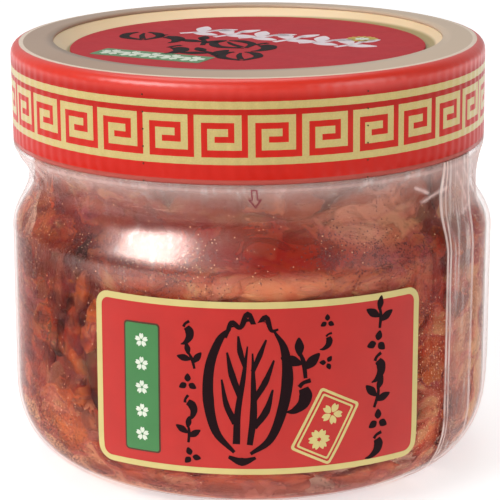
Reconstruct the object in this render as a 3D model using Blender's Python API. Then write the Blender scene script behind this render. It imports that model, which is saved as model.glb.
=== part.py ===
# Kimchi jar: a squat clear jar with a screw lid, a heat-shrunk sleeve and its filling.
# Metres, +Z up. The jar stands on z = 0 with its axis on the Z axis, and -Y is its front.

import math
import random

import bmesh
import bpy
from mathutils import Matrix, Vector

# Whole object
total_height = 0.0903
round_steps = 44

# Jar
wall_radius = 0.0507
wall = 0.0010
foot_radius = 0.0340
foot_inner_radius = 0.0325
heel_height = 0.0170
heel_power = 2.3
push_up = 0.0030
shoulder_low = 0.0505
shoulder_high = 0.0605
neck_radius = 0.0465
bead_radius = 0.0470
bead_low = 0.0606
bead_high = 0.0632
mouth_height = 0.0855
thread_middle = 0.0745
thread_rise = 0.0030
thread_depth = 0.0008
thread_width = 0.0024
thread_fade = math.radians(30)

# Sleeve of shrunk film, made thicker than the real film
film = 0.0002
film_gap = 0.0003
film_waist_radius = 0.0475
film_waist_low = 0.0612
film_waist_high = 0.0622
film_end_radius = 0.0415
lid_low_edge = 0.0692

# Lid, measured over the sleeve where the sleeve covers it
lid_radius = 0.0501
rim_inner_radius = 0.0412
rim_flat_radius = 0.0474
rim_fall = 0.0004
rim_corner = 0.0022
recess_slope = 0.0024
recess_depth = 0.0022
lid_panel = 0.0012
lid_skirt = 0.0016
lid_steps = 96
ridge_depth = 0.0003
lid_shift = -0.0005
lid_tilt = 0.0082

# Printed disc in the lid's recess
disc_radius = 0.0376
disc_thickness = 0.0003

# Filling
fill_clearance = 0.0009
fill_height = 0.0650
core_inset = 0.0034
core_bump = 0.0010
core_steps = 24
core_rows = 9
core_low = 0.0042
core_high = 0.0615
fill_seed = 41
rows_of_pieces = 7
pieces_in_row = 8
most_turn = 0.7
deepest_piece = 0.0010
lowest_piece = 0.0036
first_row = 0.0095
# Each kind: half its length and width, thickness, wave, and how many faces long and wide it is
piece_kinds = {
    "leaf": (0.0105, 0.0070, 0.0030, 0.0010, 4, 2),
    "stem": (0.0090, 0.0055, 0.0042, 0.0005, 3, 2),
    "strip": (0.0115, 0.0015, 0.0032, 0.0008, 4, 1),
}


def clear_scene():
    for item in list(bpy.data.objects):
        bpy.data.objects.remove(item, do_unlink=True)


def finish(name, colour, roughness, alpha=1.0):
    """One Principled material, with the colour, roughness and clearness of the real finish."""
    material = bpy.data.materials.new(name)
    material.use_nodes = True
    shader = material.node_tree.nodes["Principled BSDF"]
    shader.inputs["Base Color"].default_value = (*colour, 1.0)
    shader.inputs["Roughness"].default_value = roughness
    shader.inputs["Metallic"].default_value = 0.0
    shader.inputs["Alpha"].default_value = alpha
    return material


def add_object(name, bm, material, sharp_angle=35):
    mesh = bpy.data.meshes.new(name)
    bm.to_mesh(mesh)
    bm.free()
    mesh.materials.append(material)
    mesh.shade_smooth()
    mesh.set_sharp_from_angle(angle=math.radians(sharp_angle))
    thing = bpy.data.objects.new(name, mesh)
    bpy.context.collection.objects.link(thing)
    return thing


def turned(outline, steps, closed):
    """A round solid from an outline of (radius, height) points, which may start and end on the axis."""
    bm = bmesh.new()
    points = [bm.verts.new((radius, 0, height)) for radius, height in outline]
    ends = zip(points, points[1:] + points[:1]) if closed else zip(points, points[1:])
    edges = [bm.edges.new(pair) for pair in ends]
    bmesh.ops.spin(bm, geom=points + edges, cent=(0, 0, 0), axis=(0, 0, 1), angle=math.tau, steps=steps)
    bmesh.ops.remove_doubles(bm, verts=bm.verts, dist=1e-6)
    bmesh.ops.recalc_face_normals(bm, faces=bm.faces)
    return bm


def eased(t):
    t = min(max(t, 0.0), 1.0)
    return t * t * (3 - 2 * t)


def heel_outline(inset, count):
    """The rounded heel, a superellipse from the foot up to the straight wall, moved in by inset."""
    points = []
    for k in range(count):
        turn = (k / (count - 1)) * math.pi / 2
        across = math.sin(turn) ** (2 / heel_power)
        up = math.cos(turn) ** (2 / heel_power)
        radius = foot_radius + (wall_radius - inset - foot_radius) * across
        points.append((radius, heel_height - (heel_height - inset) * up))
    return points


def shoulder_outline(inset, top_radius, top_height, count):
    """The S curve from the straight wall in to the neck."""
    points = []
    for k in range(count):
        t = k / (count - 1)
        swing = (1 + math.cos(math.pi * t)) / 2
        radius = top_radius + (wall_radius - inset - top_radius) * swing
        points.append((radius, shoulder_low + (top_height - shoulder_low) * t))
    return points


def fill_radius(height):
    """How far from the axis the filling may reach at a height."""
    inset = wall + fill_clearance
    if height < heel_height:
        down = min((heel_height - height) / (heel_height - inset), 0.999)
        across = (1 - down ** heel_power) ** (1 / heel_power)
        return foot_radius + (wall_radius - inset - foot_radius) * across
    t = (height - shoulder_low) / (shoulder_high - shoulder_low)
    swing = (1 + math.cos(math.pi * min(max(t, 0.0), 1.0))) / 2
    return neck_radius - inset + (wall_radius - neck_radius) * swing


def make_jar():
    half_thread = thread_width / 2
    outer = [(0, push_up), (foot_inner_radius - 0.0035, push_up * 0.7), (foot_inner_radius, 0)]
    outer += heel_outline(0, 6)
    outer += shoulder_outline(0, neck_radius, shoulder_high, 4)
    outer += [(bead_radius, bead_low + 0.0006), (bead_radius, bead_high - 0.0006), (neck_radius, bead_high)]
    thread = [(neck_radius, thread_middle - half_thread), (neck_radius + thread_depth, thread_middle)]
    thread += [(neck_radius, thread_middle + half_thread)]
    outer += thread
    outer += [(neck_radius, mouth_height)]
    inner = [(neck_radius - wall, mouth_height)]
    inner += reversed(shoulder_outline(wall, neck_radius - wall, shoulder_high, 4))
    inner += reversed(heel_outline(wall, 6))
    inner += [(foot_inner_radius, wall), (foot_inner_radius - 0.0030, push_up * 0.7 + wall), (0, push_up + wall)]
    bm = turned(outer + inner, round_steps, closed=False)
    # One turn of thread: its three rows climb round the neck and fade out where the turn ends.
    rows = {round(height, 6) for _, height in thread}
    for vert in bm.verts:
        radius = math.hypot(vert.co.x, vert.co.y)
        if round(vert.co.z, 6) not in rows or radius < neck_radius - wall / 2:
            continue
        angle = math.atan2(vert.co.y, vert.co.x) % math.tau
        to_end = min(angle, math.tau - angle)
        depth = thread_depth * eased((to_end - thread_fade / 2) / thread_fade)
        if radius > neck_radius + thread_depth / 2:
            vert.co.x *= (neck_radius + depth) / radius
            vert.co.y *= (neck_radius + depth) / radius
        climb = (angle / math.tau - 0.5) * thread_rise
        vert.co.z += climb * eased(to_end / (thread_fade / 2))
    clear = finish("clear_plastic", (0.92, 0.93, 0.92), 0.06, alpha=0.25)
    return add_object("jar", bm, clear)


def rim_outline(inset, start_radius, corner_points):
    """The lid's rim from its inner edge, over the crown and the rounded corner, to the top of the side."""
    top = total_height - inset
    centre = (lid_radius - rim_corner, total_height - rim_fall - rim_corner)
    radius = rim_corner - inset
    points = [(start_radius, top), (rim_flat_radius, total_height - rim_fall - inset)]
    for k in range(1, corner_points + 1):
        turn = k / corner_points * math.pi / 2
        points.append((centre[0] + radius * math.sin(turn), centre[1] + radius * math.cos(turn)))
    return points


def seat_lid(thing):
    """The lid sits a little askew on its thread, so it and its disc turn about the neck's middle."""
    pivot = Vector((lid_shift, 0, lid_low_edge))
    thing.matrix_world = Matrix.Translation(pivot) @ Matrix.Rotation(-lid_tilt, 4, "Y") @ Matrix.Translation(
        (0, 0, -lid_low_edge)
    )


def recess_floor():
    return total_height - film - film_gap - recess_depth


def make_lid():
    inset = film + film_gap
    floor = recess_floor()
    low = lid_low_edge + inset
    side = lid_radius - inset
    outline = [(0, floor), (rim_inner_radius - recess_slope, floor)]
    outline += rim_outline(inset, rim_inner_radius, 3)
    outline += [(side, low + 0.0005), (side - 0.0005, low), (side - lid_skirt, low)]
    outline += [(side - lid_skirt, floor - lid_panel), (0, floor - lid_panel)]
    bm = turned(outline, lid_steps, closed=False)
    # Every second line of points on the side is pressed in, which leaves upright grip ridges.
    for vert in bm.verts:
        radius = math.hypot(vert.co.x, vert.co.y)
        step = round(math.atan2(vert.co.y, vert.co.x) / math.tau * lid_steps)
        on_side = radius > side - 0.0001 and vert.co.z < total_height - rim_corner
        if on_side and step % 2:
            vert.co.x *= (side - ridge_depth) / radius
            vert.co.y *= (side - ridge_depth) / radius
    lid = add_object("lid", bm, finish("cream_plastic", (0.80, 0.66, 0.46), 0.35))
    seat_lid(lid)
    return lid


def make_lid_disc():
    low = recess_floor() + film_gap
    high = low + disc_thickness
    outline = [(0, high), (disc_radius, high), (disc_radius, low), (0, low)]
    disc = add_object("lid_label", turned(outline, round_steps, closed=False), finish("print_red", (0.50, 0.07, 0.08), 0.4))
    seat_lid(disc)
    return disc


def make_sleeve():
    def skin(inset):
        points = rim_outline(inset, rim_inner_radius + 0.0002, 3)
        points.append((lid_radius - inset, lid_low_edge + inset))
        for k in range(1, 4):
            t = 1 - k / 3
            height = film_waist_high + (lid_low_edge - film_waist_high) * t
            points.append((film_waist_radius - inset + (lid_radius - film_waist_radius) * eased(t), height))
        skin_inset = inset - film - film_gap
        points += reversed(shoulder_outline(skin_inset, film_waist_radius - inset, film_waist_low, 4))
        heel = [point for point in reversed(heel_outline(skin_inset, 6)) if point[0] > film_end_radius]
        return points + heel

    outer = skin(0.0)
    inner = skin(film)
    bm = turned(outer + inner[::-1], round_steps, closed=True)
    # Over the lid the sleeve follows the lid's tilt and shift, which fade out down the neck.
    for vert in bm.verts:
        share = eased((vert.co.z - film_waist_high) / (lid_low_edge - film_waist_high))
        if vert.co.z > film_waist_high:
            x = vert.co.x
            vert.co.x += share * (lid_shift - lid_tilt * (vert.co.z - lid_low_edge))
            vert.co.z += share * lid_tilt * x
    return add_object("sleeve", bm, finish("printed_film", (0.72, 0.10, 0.07), 0.2, alpha=0.6))


def cabbage_core():
    """The packed middle of the filling, a lumpy round body up to the fill height."""
    bm = bmesh.new()
    rng = random.Random(fill_seed)
    rings = []
    for row in range(core_rows):
        height = core_low + (core_high - core_low) * (row / (core_rows - 1)) ** 1.2
        ring = []
        for k in range(core_steps):
            angle = k / core_steps * math.tau
            radius = fill_radius(height) - core_inset + rng.uniform(-core_bump, core_bump)
            ring.append(bm.verts.new((radius * math.cos(angle), radius * math.sin(angle), height)))
        rings.append(ring)
    for lower, upper in zip(rings, rings[1:]):
        for k in range(core_steps):
            n = (k + 1) % core_steps
            bm.faces.new((lower[k], lower[n], upper[n], upper[k]))
    bottom = bm.verts.new((0, 0, push_up + wall + fill_clearance))
    top = bm.verts.new((0, 0, core_high + core_bump))
    for k in range(core_steps):
        n = (k + 1) % core_steps
        bm.faces.new((bottom, rings[0][n], rings[0][k]))
        bm.faces.new((top, rings[-1][k], rings[-1][n]))
    return bm


def pressed_piece(rng, angle, height, kind):
    """A leaf, a stem or a strip that lies against the wall, its outer and inner face split alike."""
    half_long, half_wide, thick, wave, columns, lines = piece_kinds[kind]
    half_long *= rng.uniform(0.75, 1.3)
    half_wide *= rng.uniform(0.75, 1.3)
    turn = rng.uniform(-most_turn, most_turn)
    phase = rng.uniform(0, math.tau)
    depth = rng.uniform(0.0, deepest_piece)
    bm = bmesh.new()
    sheets = []
    for layer in (0, thick):
        sheet = []
        for j in range(lines + 1):
            for i in range(columns + 1):
                along = (2 * i / columns - 1) * half_long
                narrow = 1 - 0.45 * (2 * i / columns - 1) ** 2
                across = (2 * j / lines - 1) * half_wide * narrow
                side = along * math.cos(turn) - across * math.sin(turn)
                up = height + along * math.sin(turn) + across * math.cos(turn)
                up = min(max(up, lowest_piece), fill_height)
                ripple = wave * (1 + math.sin(phase + 5.0 * i / columns + 2.6 * j)) / 2
                radius = fill_radius(up) - depth - ripple - layer
                a = angle + side / wall_radius
                sheet.append(bm.verts.new((radius * math.cos(a), radius * math.sin(a), up)))
        sheets.append(sheet)
    outer, inner = sheets
    width = columns + 1
    for j in range(lines):
        for i in range(columns):
            a, b, c, d = j * width + i, j * width + i + 1, (j + 1) * width + i + 1, (j + 1) * width + i
            bm.faces.new((outer[a], outer[b], outer[c]))
            bm.faces.new((outer[a], outer[c], outer[d]))
            bm.faces.new((inner[a], inner[c], inner[b]))
            bm.faces.new((inner[a], inner[d], inner[c]))
    border = list(range(width)) + [j * width + columns for j in range(1, lines + 1)]
    border += [lines * width + i for i in range(columns - 1, -1, -1)] + [j * width for j in range(lines - 1, 0, -1)]
    for here, there in zip(border, border[1:] + border[:1]):
        bm.faces.new((outer[here], inner[here], inner[there], outer[there]))
    bmesh.ops.recalc_face_normals(bm, faces=bm.faces)
    return bm


def keep_outer_shell(mesh):
    """Fills the hollows that fusing sealed and drops loose scraps: only the largest shell stays."""
    bm = bmesh.new()
    bm.from_mesh(mesh)
    bmesh.ops.triangulate(bm, faces=bm.faces)
    left = set(bm.faces)
    shells = []
    while left:
        grown = [left.pop()]
        shell = set(grown)
        while grown:
            for edge in grown.pop().edges:
                for face in edge.link_faces:
                    if face in left:
                        left.discard(face)
                        shell.add(face)
                        grown.append(face)
        shells.append(shell)
    largest = max(shells, key=len)
    spare = [face for shell in shells if shell is not largest for face in shell]
    bmesh.ops.delete(bm, geom=spare, context="FACES")
    bm.to_mesh(mesh)
    bm.free()


def make_kimchi():
    red = finish("kimchi_red", (0.45, 0.13, 0.05), 0.3)
    kimchi = add_object("kimchi", cabbage_core(), red, sharp_angle=60)
    rng = random.Random(fill_seed)
    pieces = bpy.data.collections.new("pieces")
    bpy.context.scene.collection.children.link(pieces)
    low, high = first_row, fill_height - first_row / 2
    for row in range(rows_of_pieces):
        height = low + (high - low) * row / (rows_of_pieces - 1)
        for k in range(pieces_in_row):
            angle = (k + 0.5 * (row % 2) + rng.uniform(-0.2, 0.2)) / pieces_in_row * math.tau
            kind = rng.choice(("leaf", "leaf", "stem", "stem", "strip"))
            bm = pressed_piece(rng, angle, height + rng.uniform(-0.0015, 0.0015), kind)
            piece = add_object("piece", bm, red)
            bpy.context.collection.objects.unlink(piece)
            pieces.objects.link(piece)
    union = kimchi.modifiers.new("union", "BOOLEAN")
    union.operation = "UNION"
    union.operand_type = "COLLECTION"
    union.collection = pieces
    union.solver = "MANIFOLD"
    bpy.context.view_layer.update()
    fused = bpy.data.meshes.new_from_object(kimchi.evaluated_get(bpy.context.evaluated_depsgraph_get()))
    kimchi.modifiers.clear()
    kimchi.data = fused
    keep_outer_shell(fused)
    for piece in list(pieces.objects):
        bpy.data.objects.remove(piece, do_unlink=True)
    bpy.data.collections.remove(pieces)
    return kimchi


clear_scene()
make_jar()
make_lid()
make_lid_disc()
make_sleeve()
make_kimchi()
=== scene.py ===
import math

import bmesh
import bpy
import numpy as np
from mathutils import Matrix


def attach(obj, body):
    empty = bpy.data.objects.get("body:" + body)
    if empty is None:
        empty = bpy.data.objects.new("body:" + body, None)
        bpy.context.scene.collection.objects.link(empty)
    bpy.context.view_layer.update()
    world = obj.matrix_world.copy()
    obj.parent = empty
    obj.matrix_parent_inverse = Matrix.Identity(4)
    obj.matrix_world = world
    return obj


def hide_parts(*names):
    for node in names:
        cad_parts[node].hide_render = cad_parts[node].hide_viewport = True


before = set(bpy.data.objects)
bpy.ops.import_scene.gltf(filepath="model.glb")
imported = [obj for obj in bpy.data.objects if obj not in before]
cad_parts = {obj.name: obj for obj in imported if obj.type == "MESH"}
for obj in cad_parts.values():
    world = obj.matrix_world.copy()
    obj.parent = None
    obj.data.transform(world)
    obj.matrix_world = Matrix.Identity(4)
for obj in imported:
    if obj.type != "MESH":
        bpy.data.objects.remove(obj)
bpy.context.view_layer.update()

# The jar stands on z = 0, its axis on Z, its front towards -Y. All sizes are in metres.
mm = 0.001
fullTurn = math.tau
hub = 0.05 * mm  # the smallest radius of a turned shape, at the axis


# Small helpers for numbers and shapes

def eased(t):
    t = np.clip(t, 0.0, 1.0)
    return t * t * (3 - 2 * t)


def rampUp(value, low, high):
    return eased((value - low) / (high - low))


def paint(*colour):
    # a colour in 0..255, turned into Blender's linear values
    return tuple((c / 255 / 12.92) if c <= 10 else ((c / 255 + 0.055) / 1.055) ** 2.4 for c in colour)


def turnOf(points):
    # turn about the axis in radians, 0 at the front, growing to the right
    return np.arctan2(points[:, 0], -points[:, 1])


def meshPiece(name, points, faces, finishes, smooth=True):
    mesh = bpy.data.meshes.new(name)
    mesh.from_pydata([tuple(p) for p in points], [], [tuple(f) for f in faces])
    for finish in finishes:
        mesh.materials.append(finish)
    mesh.update()
    if smooth:
        mesh.shade_smooth()
    piece = bpy.data.objects.new(name, mesh)
    bpy.context.scene.collection.objects.link(piece)
    return piece


def pointsOf(mesh):
    flat = np.empty(len(mesh.vertices) * 3, np.float32)
    mesh.vertices.foreach_get("co", flat)
    return flat.reshape(-1, 3).astype(float)


def movePoints(mesh, points):
    mesh.vertices.foreach_set("co", np.asarray(points, np.float32).ravel())
    mesh.update()


def giveNumbers(mesh, name, values):
    layer = mesh.attributes.new(name, "FLOAT", "POINT")
    layer.data.foreach_set("value", np.asarray(values, np.float32))


def closedRing(outline, columns, capStart=False, capEnd=False):
    # points and quads of an outline of (radius, height) pairs turned round the axis
    outline = np.asarray(outline, float)
    turn = np.arange(columns) / columns * fullTurn
    ring = np.stack([np.sin(turn), -np.cos(turn)], 1)
    points = [(r * sx, r * sy, z) for r, z in outline for sx, sy in ring]
    faces = []
    for row in range(len(outline) - 1):
        here, there = row * columns, (row + 1) * columns
        for k in range(columns):
            n = (k + 1) % columns
            faces.append((here + k, there + k, there + n, here + n))
    if capStart:
        points.append((0, 0, outline[0][1]))
        faces += [(len(points) - 1, k, (k + 1) % columns) for k in range(columns)]
    if capEnd:
        points.append((0, 0, outline[-1][1]))
        last = (len(outline) - 1) * columns
        faces += [(len(points) - 1, last + (k + 1) % columns, last + k) for k in range(columns)]
    return points, faces


def bake(piece):
    # live modifiers become plain mesh, with the piece still at the origin
    ready = piece.evaluated_get(bpy.context.evaluated_depsgraph_get())
    mesh = bpy.data.meshes.new_from_object(ready)
    piece.modifiers.clear()
    piece.data = mesh
    return piece


def thicken(piece, thickness):
    # gives a sheet its thickness, inwards
    shell = piece.modifiers.new("thickness", "SOLIDIFY")
    shell.thickness = thickness
    shell.offset = -1.0
    return bake(piece)


# Shader sums: a socket that takes part in Python expressions

class Wire:
    def __init__(self, finish, socket):
        self.finish = finish
        self.socket = socket

    def math(self, operation, *others):
        return self.finish.node("ShaderNodeMath", {"operation": operation}, [self, *others])

    def __add__(self, other):
        return self.math("ADD", other)

    def __radd__(self, other):
        return self.math("ADD", other)

    def __sub__(self, other):
        return self.math("SUBTRACT", other)

    def __rsub__(self, other):
        return self.finish.node("ShaderNodeMath", {"operation": "SUBTRACT"}, [other, self])

    def __mul__(self, other):
        return self.math("MULTIPLY", other)

    def __rmul__(self, other):
        return self.math("MULTIPLY", other)

    def __truediv__(self, other):
        return self.math("DIVIDE", other)

    def __pow__(self, other):
        return self.math("POWER", other)

    def step(self, low, high):
        # 0 below low, 1 above high, smooth between them
        settings = {"interpolation_type": "SMOOTHSTEP"}
        inputs = {"Value": self, "From Min": low, "From Max": high}
        return self.finish.node("ShaderNodeMapRange", settings, inputs)


class Finish:
    # one material: its Principled shader, with constants on its own sockets
    def __init__(self, name, colour, roughness, **constants):
        self.material = bpy.data.materials.new(name)
        self.material.use_nodes = True
        self.tree = self.material.node_tree
        self.shader = self.tree.nodes["Principled BSDF"]
        self.output = self.tree.nodes["Material Output"]
        self.shader.inputs["Base Color"].default_value = (*colour, 1.0)
        self.shader.inputs["Roughness"].default_value = roughness
        for socket, value in constants.items():
            self.shader.inputs[socket.replace("_", " ")].default_value = value
        self.place = self.node("ShaderNodeTexCoord", output="Object")

    def node(self, kind, settings=None, inputs=None, output=0):
        made = self.tree.nodes.new(kind)
        for key, value in (settings or {}).items():
            if key == "stops":
                self.setStops(made.color_ramp, value)
            else:
                setattr(made, key, value)
        pairs = inputs.items() if isinstance(inputs, dict) else enumerate(inputs or [])
        for key, value in pairs:
            self.feed(made.inputs[key], value)
        return Wire(self, made.outputs[output])

    def setStops(self, ramp, stops):
        while len(ramp.elements) > 1:
            ramp.elements.remove(ramp.elements[-1])
        ramp.elements[0].position = stops[0][0]
        ramp.elements[0].color = (*paint(*stops[0][1:]), 1)
        for position, *colour in stops[1:]:
            ramp.elements.new(position).color = (*paint(*colour), 1)

    def feed(self, socket, value):
        if isinstance(value, Wire):
            self.tree.links.new(value.socket, socket)
        elif isinstance(value, tuple) and len(value) == 3 and socket.type == "RGBA":
            socket.default_value = (*value, 1.0)
        else:
            socket.default_value = value

    def vary(self, **values):
        for socket, value in values.items():
            self.feed(self.shader.inputs[socket.replace("_", " ")], value)

    def noise(self, size, detail=3.0, roughness=0.5, stretch=None, distortion=0.0, place=None):
        if place is None:
            place = self.place if stretch is None else self.stretched(stretch)
        inputs = {"Vector": place, "Scale": 1 / size, "Detail": detail, "Roughness": roughness}
        return self.node("ShaderNodeTexNoise", None, {**inputs, "Distortion": distortion}, "Fac")

    def patches(self, size, stretch, wobble):
        # random values in blurred cells, like pieces pressed against each other
        blur = {"Vector": self.place, "Scale": 0.7 / size, "Detail": 3.0}
        drift = self.node("ShaderNodeTexNoise", None, blur, "Color")
        drift = self.vector("SUBTRACT", drift, (0.5, 0.5, 0.5))
        drift = self.vector("MULTIPLY", drift, (wobble,) * 3)
        bent = self.vector("ADD", self.stretched(stretch), drift)
        inputs = {"Vector": bent, "Scale": 1 / size, "Smoothness": 0.3}
        cells = self.node("ShaderNodeTexVoronoi", {"feature": "SMOOTH_F1"}, inputs, "Color")
        return self.node("ShaderNodeSeparateColor", None, [cells], "Red")

    def vector(self, operation, *values):
        return self.node("ShaderNodeVectorMath", {"operation": operation}, values, "Vector")

    def stretched(self, factors):
        return self.vector("MULTIPLY", self.place, factors)

    def axis(self, name):
        return self.node("ShaderNodeSeparateXYZ", None, [self.place], name)

    def angle(self):
        # turn about the axis in radians, 0 at the front
        return self.node("ShaderNodeMath", {"operation": "ARCTAN2"}, [self.axis("X"), self.axis("Y") * -1.0])

    def fromAxis(self):
        flat = self.stretched((1.0, 1.0, 0.0))
        return self.node("ShaderNodeVectorMath", {"operation": "LENGTH"}, [flat], "Value")

    def attribute(self, name):
        return self.node("ShaderNodeAttribute", {"attribute_name": name}, None, "Fac")

    def mix(self, factor, first, second, blend="MIX"):
        made = self.tree.nodes.new("ShaderNodeMix")
        made.data_type = "RGBA"
        made.blend_type = blend
        self.feed(made.inputs["Factor"], factor)
        self.feed(made.inputs[6], first)
        self.feed(made.inputs[7], second)
        return Wire(self, made.outputs[2])

    def ramp(self, value, stops):
        # each stop is its place on the ramp and its colour in 0..255
        return self.node("ShaderNodeValToRGB", {"stops": stops}, [value], "Color")

    def bump(self, height, strength, distance):
        inputs = {"Height": height, "Strength": strength, "Distance": distance}
        return self.node("ShaderNodeBump", None, inputs)

    def grazing(self, power):
        # 0 face on, 1 edge on, the same from both sides of a wall
        return self.node("ShaderNodeLayerWeight", None, {"Blend": 0.5}, "Facing") ** power

    def clamped(self, value, low, high):
        return self.node("ShaderNodeClamp", None, [value, low, high])

    def clearSkin(self, haze, gloss):
        # a clear wall: mirror-like where it reflects, milky where it is hazy, see-through for the rest
        mirror = self.clamped(self.grazing(8.0) * 0.4 + gloss, 0.0, 0.9)
        share = self.clamped(mirror + haze, 0.0, 0.93)
        self.vary(Metallic=self.clamped(mirror / (mirror + haze + 0.001), 0.0, 1.0))
        return self.seeThrough(share)

    def seeThrough(self, share, tint=(1.0, 1.0, 1.0)):
        # share of the Principled shader; the rest lets what is behind show
        clear = self.node("ShaderNodeBsdfTransparent", None, [tint])
        mixed = self.node("ShaderNodeMixShader", None, [share, clear, Wire(self, self.shader.outputs[0])])
        self.tree.links.new(mixed.socket, self.output.inputs["Surface"])
        return self.material


# Camera, lights and floor

studio = {
    # the camera's place, its fall below level in degrees and its focal length in pixels of the picture
    "cameraPlace": (-0.0002, -0.4722, 0.1690), "cameraDown": 14.93, "focalPixels": 2251.0, "imagePixels": 500,
    "floorHalf": 4.0, "floorShade": 0.75, "worldFade": (0.1, 0.9, 0.12, 0.5),
    # the floor's painted glow near the camera, under the jar and far behind it
    "floorGlow": (0.10, 0.62, 0.74),
}
softBoxes = {
    "mainBox": {"place": (-0.65, -0.49, 0.58), "size": (0.52, 0.36), "power": 5.0},
    "mainGlow": {"place": (-0.40, -0.75, 0.52), "size": (0.85, 0.75), "power": 1.9},
    "topBox": {"place": (-0.10, 0.25, 0.90), "size": (0.7, 0.5), "power": 2.3},
    "fillBox": {"place": (0.75, -0.55, 0.35), "size": (0.5, 0.6), "power": 2.3},
}


def makeStudio():
    lens = bpy.data.cameras.new("camera")
    lens.sensor_width = 36
    lens.lens = studio["focalPixels"] * lens.sensor_width / studio["imagePixels"]
    camera = bpy.data.objects.new("camera", lens)
    camera.location = studio["cameraPlace"]
    camera.rotation_euler = (math.radians(90 - studio["cameraDown"]), 0, 0)
    bpy.context.scene.collection.objects.link(camera)
    bpy.context.scene.camera = camera
    for name, box in softBoxes.items():
        light = bpy.data.lights.new(name, "AREA")
        light.shape = "RECTANGLE"
        light.size, light.size_y = box["size"]
        light.energy = box["power"]
        lamp = bpy.data.objects.new(name, light)
        lamp.location = box["place"]
        aim = np.array([0, 0, 0.05]) - np.array(box["place"])
        flat = math.hypot(aim[0], aim[1])
        lamp.rotation_euler = (math.atan2(flat, -aim[2]), 0, math.atan2(aim[1], aim[0]) - math.pi / 2)
        bpy.context.scene.collection.objects.link(lamp)
    # the studio is bright behind and beside the jar, darker where the camera stands
    world = bpy.data.worlds.new("studio")
    world.use_nodes = True
    nodes, links = world.node_tree.nodes, world.node_tree.links
    place = nodes.new("ShaderNodeTexCoord")
    split = nodes.new("ShaderNodeSeparateXYZ")
    fade = nodes.new("ShaderNodeMapRange")
    fade.interpolation_type = "SMOOTHSTEP"
    for socket, value in zip(("From Min", "From Max", "To Min", "To Max"), studio["worldFade"]):
        fade.inputs[socket].default_value = value
    links.new(place.outputs["Generated"], split.inputs[0])
    links.new(split.outputs["Y"], fade.inputs["Value"])
    links.new(fade.outputs[0], nodes["Background"].inputs["Strength"])
    nodes["Background"].inputs["Color"].default_value = (1.0, 1.0, 1.0, 1.0)
    bpy.context.scene.world = world
    half = studio["floorHalf"]
    paleFloor = Finish("paleFloor", (studio["floorShade"],) * 3, 0.6, Emission_Strength=1.0)
    # painted light: the floor glows, brightest behind and under the jar and dimmer towards the camera
    near, under, behind = [(glow,) * 3 for glow in studio["floorGlow"]]
    lit = paleFloor.mix(paleFloor.axis("Y").step(0.15, 0.5), under, behind)
    paleFloor.vary(Emission_Color=paleFloor.mix(paleFloor.axis("Y").step(-0.16, -0.05), near, lit))
    grain = paleFloor.noise(8 * mm)
    shade = studio["floorShade"]
    paleFloor.vary(Base_Color=paleFloor.mix(grain, (shade,) * 3, (shade * 0.98,) * 3))
    corners = [(-half, -half, 0), (half, -half, 0), (half, half, 0), (-half, half, 0)]
    floor = meshPiece("floor", corners, [(0, 1, 2, 3)], [paleFloor.material], smooth=False)
    view = bpy.context.scene.view_settings
    view.view_transform = "Standard"
    bpy.context.scene.cycles.transparent_max_bounces = 32
    print("studio ready")


# The outlines that the frame's solids were turned from

jar = {
    "wallRadius": 50.7 * mm, "wall": 1.0 * mm, "footRadius": 34.0 * mm, "footInner": 32.5 * mm,
    "heelHeight": 17.0 * mm, "heelPower": 2.3, "pushUp": 3.0 * mm, "shoulderLow": 50.5 * mm,
    "shoulderHigh": 60.5 * mm, "neckRadius": 46.5 * mm, "beadRadius": 47.0 * mm, "beadLow": 60.6 * mm,
    "beadHigh": 63.2 * mm, "mouthHeight": 85.5 * mm, "columns": 192,
}
lid = {
    "radius": 50.1 * mm, "lowEdge": 69.2 * mm, "top": 90.3 * mm, "rimInner": 41.2 * mm, "rimFlat": 47.4 * mm,
    "rimFall": 0.4 * mm, "corner": 2.2 * mm, "recessSlope": 2.4 * mm, "recessDepth": 2.2 * mm,
    "panel": 1.2 * mm, "skirt": 1.6 * mm, "ridges": 112, "ridgeDepth": 0.35 * mm,
    "shift": -0.5 * mm, "tilt": 0.0082,
}
film = {
    "thickness": 0.2 * mm, "gap": 0.3 * mm, "waistRadius": 47.5 * mm, "waistLow": 61.2 * mm,
    "waistHigh": 62.2 * mm, "endRadius": 41.5 * mm, "foot": 51.2 * mm, "columns": 480,
}


def heelOutline(inset, count):
    turn = np.linspace(0, math.pi / 2, count)
    across = np.sin(turn) ** (2 / jar["heelPower"])
    up = np.cos(turn) ** (2 / jar["heelPower"])
    radius = jar["footRadius"] + (jar["wallRadius"] - inset - jar["footRadius"]) * across
    return list(zip(radius, jar["heelHeight"] - (jar["heelHeight"] - inset) * up))


def shoulderOutline(inset, topRadius, topHeight, count):
    t = np.linspace(0, 1, count)
    swing = (1 + np.cos(math.pi * t)) / 2
    radius = topRadius + (jar["wallRadius"] - inset - topRadius) * swing
    return list(zip(radius, jar["shoulderLow"] + (topHeight - jar["shoulderLow"]) * t))


def wallRadiusAt(height, inset):
    # radius of the jar's side at a height, moved in by inset
    height = np.asarray(height, float)
    down = np.clip((jar["heelHeight"] - height) / (jar["heelHeight"] - inset), 0, 0.9999)
    heel = (1 - down ** jar["heelPower"]) ** (1 / jar["heelPower"])
    low = jar["footRadius"] + (jar["wallRadius"] - inset - jar["footRadius"]) * heel
    t = np.clip((height - jar["shoulderLow"]) / (jar["shoulderHigh"] - jar["shoulderLow"]), 0, 1)
    high = jar["neckRadius"] - inset + (jar["wallRadius"] - jar["neckRadius"]) * (1 + np.cos(math.pi * t)) / 2
    return np.where(height < jar["heelHeight"], low, high)


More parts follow.
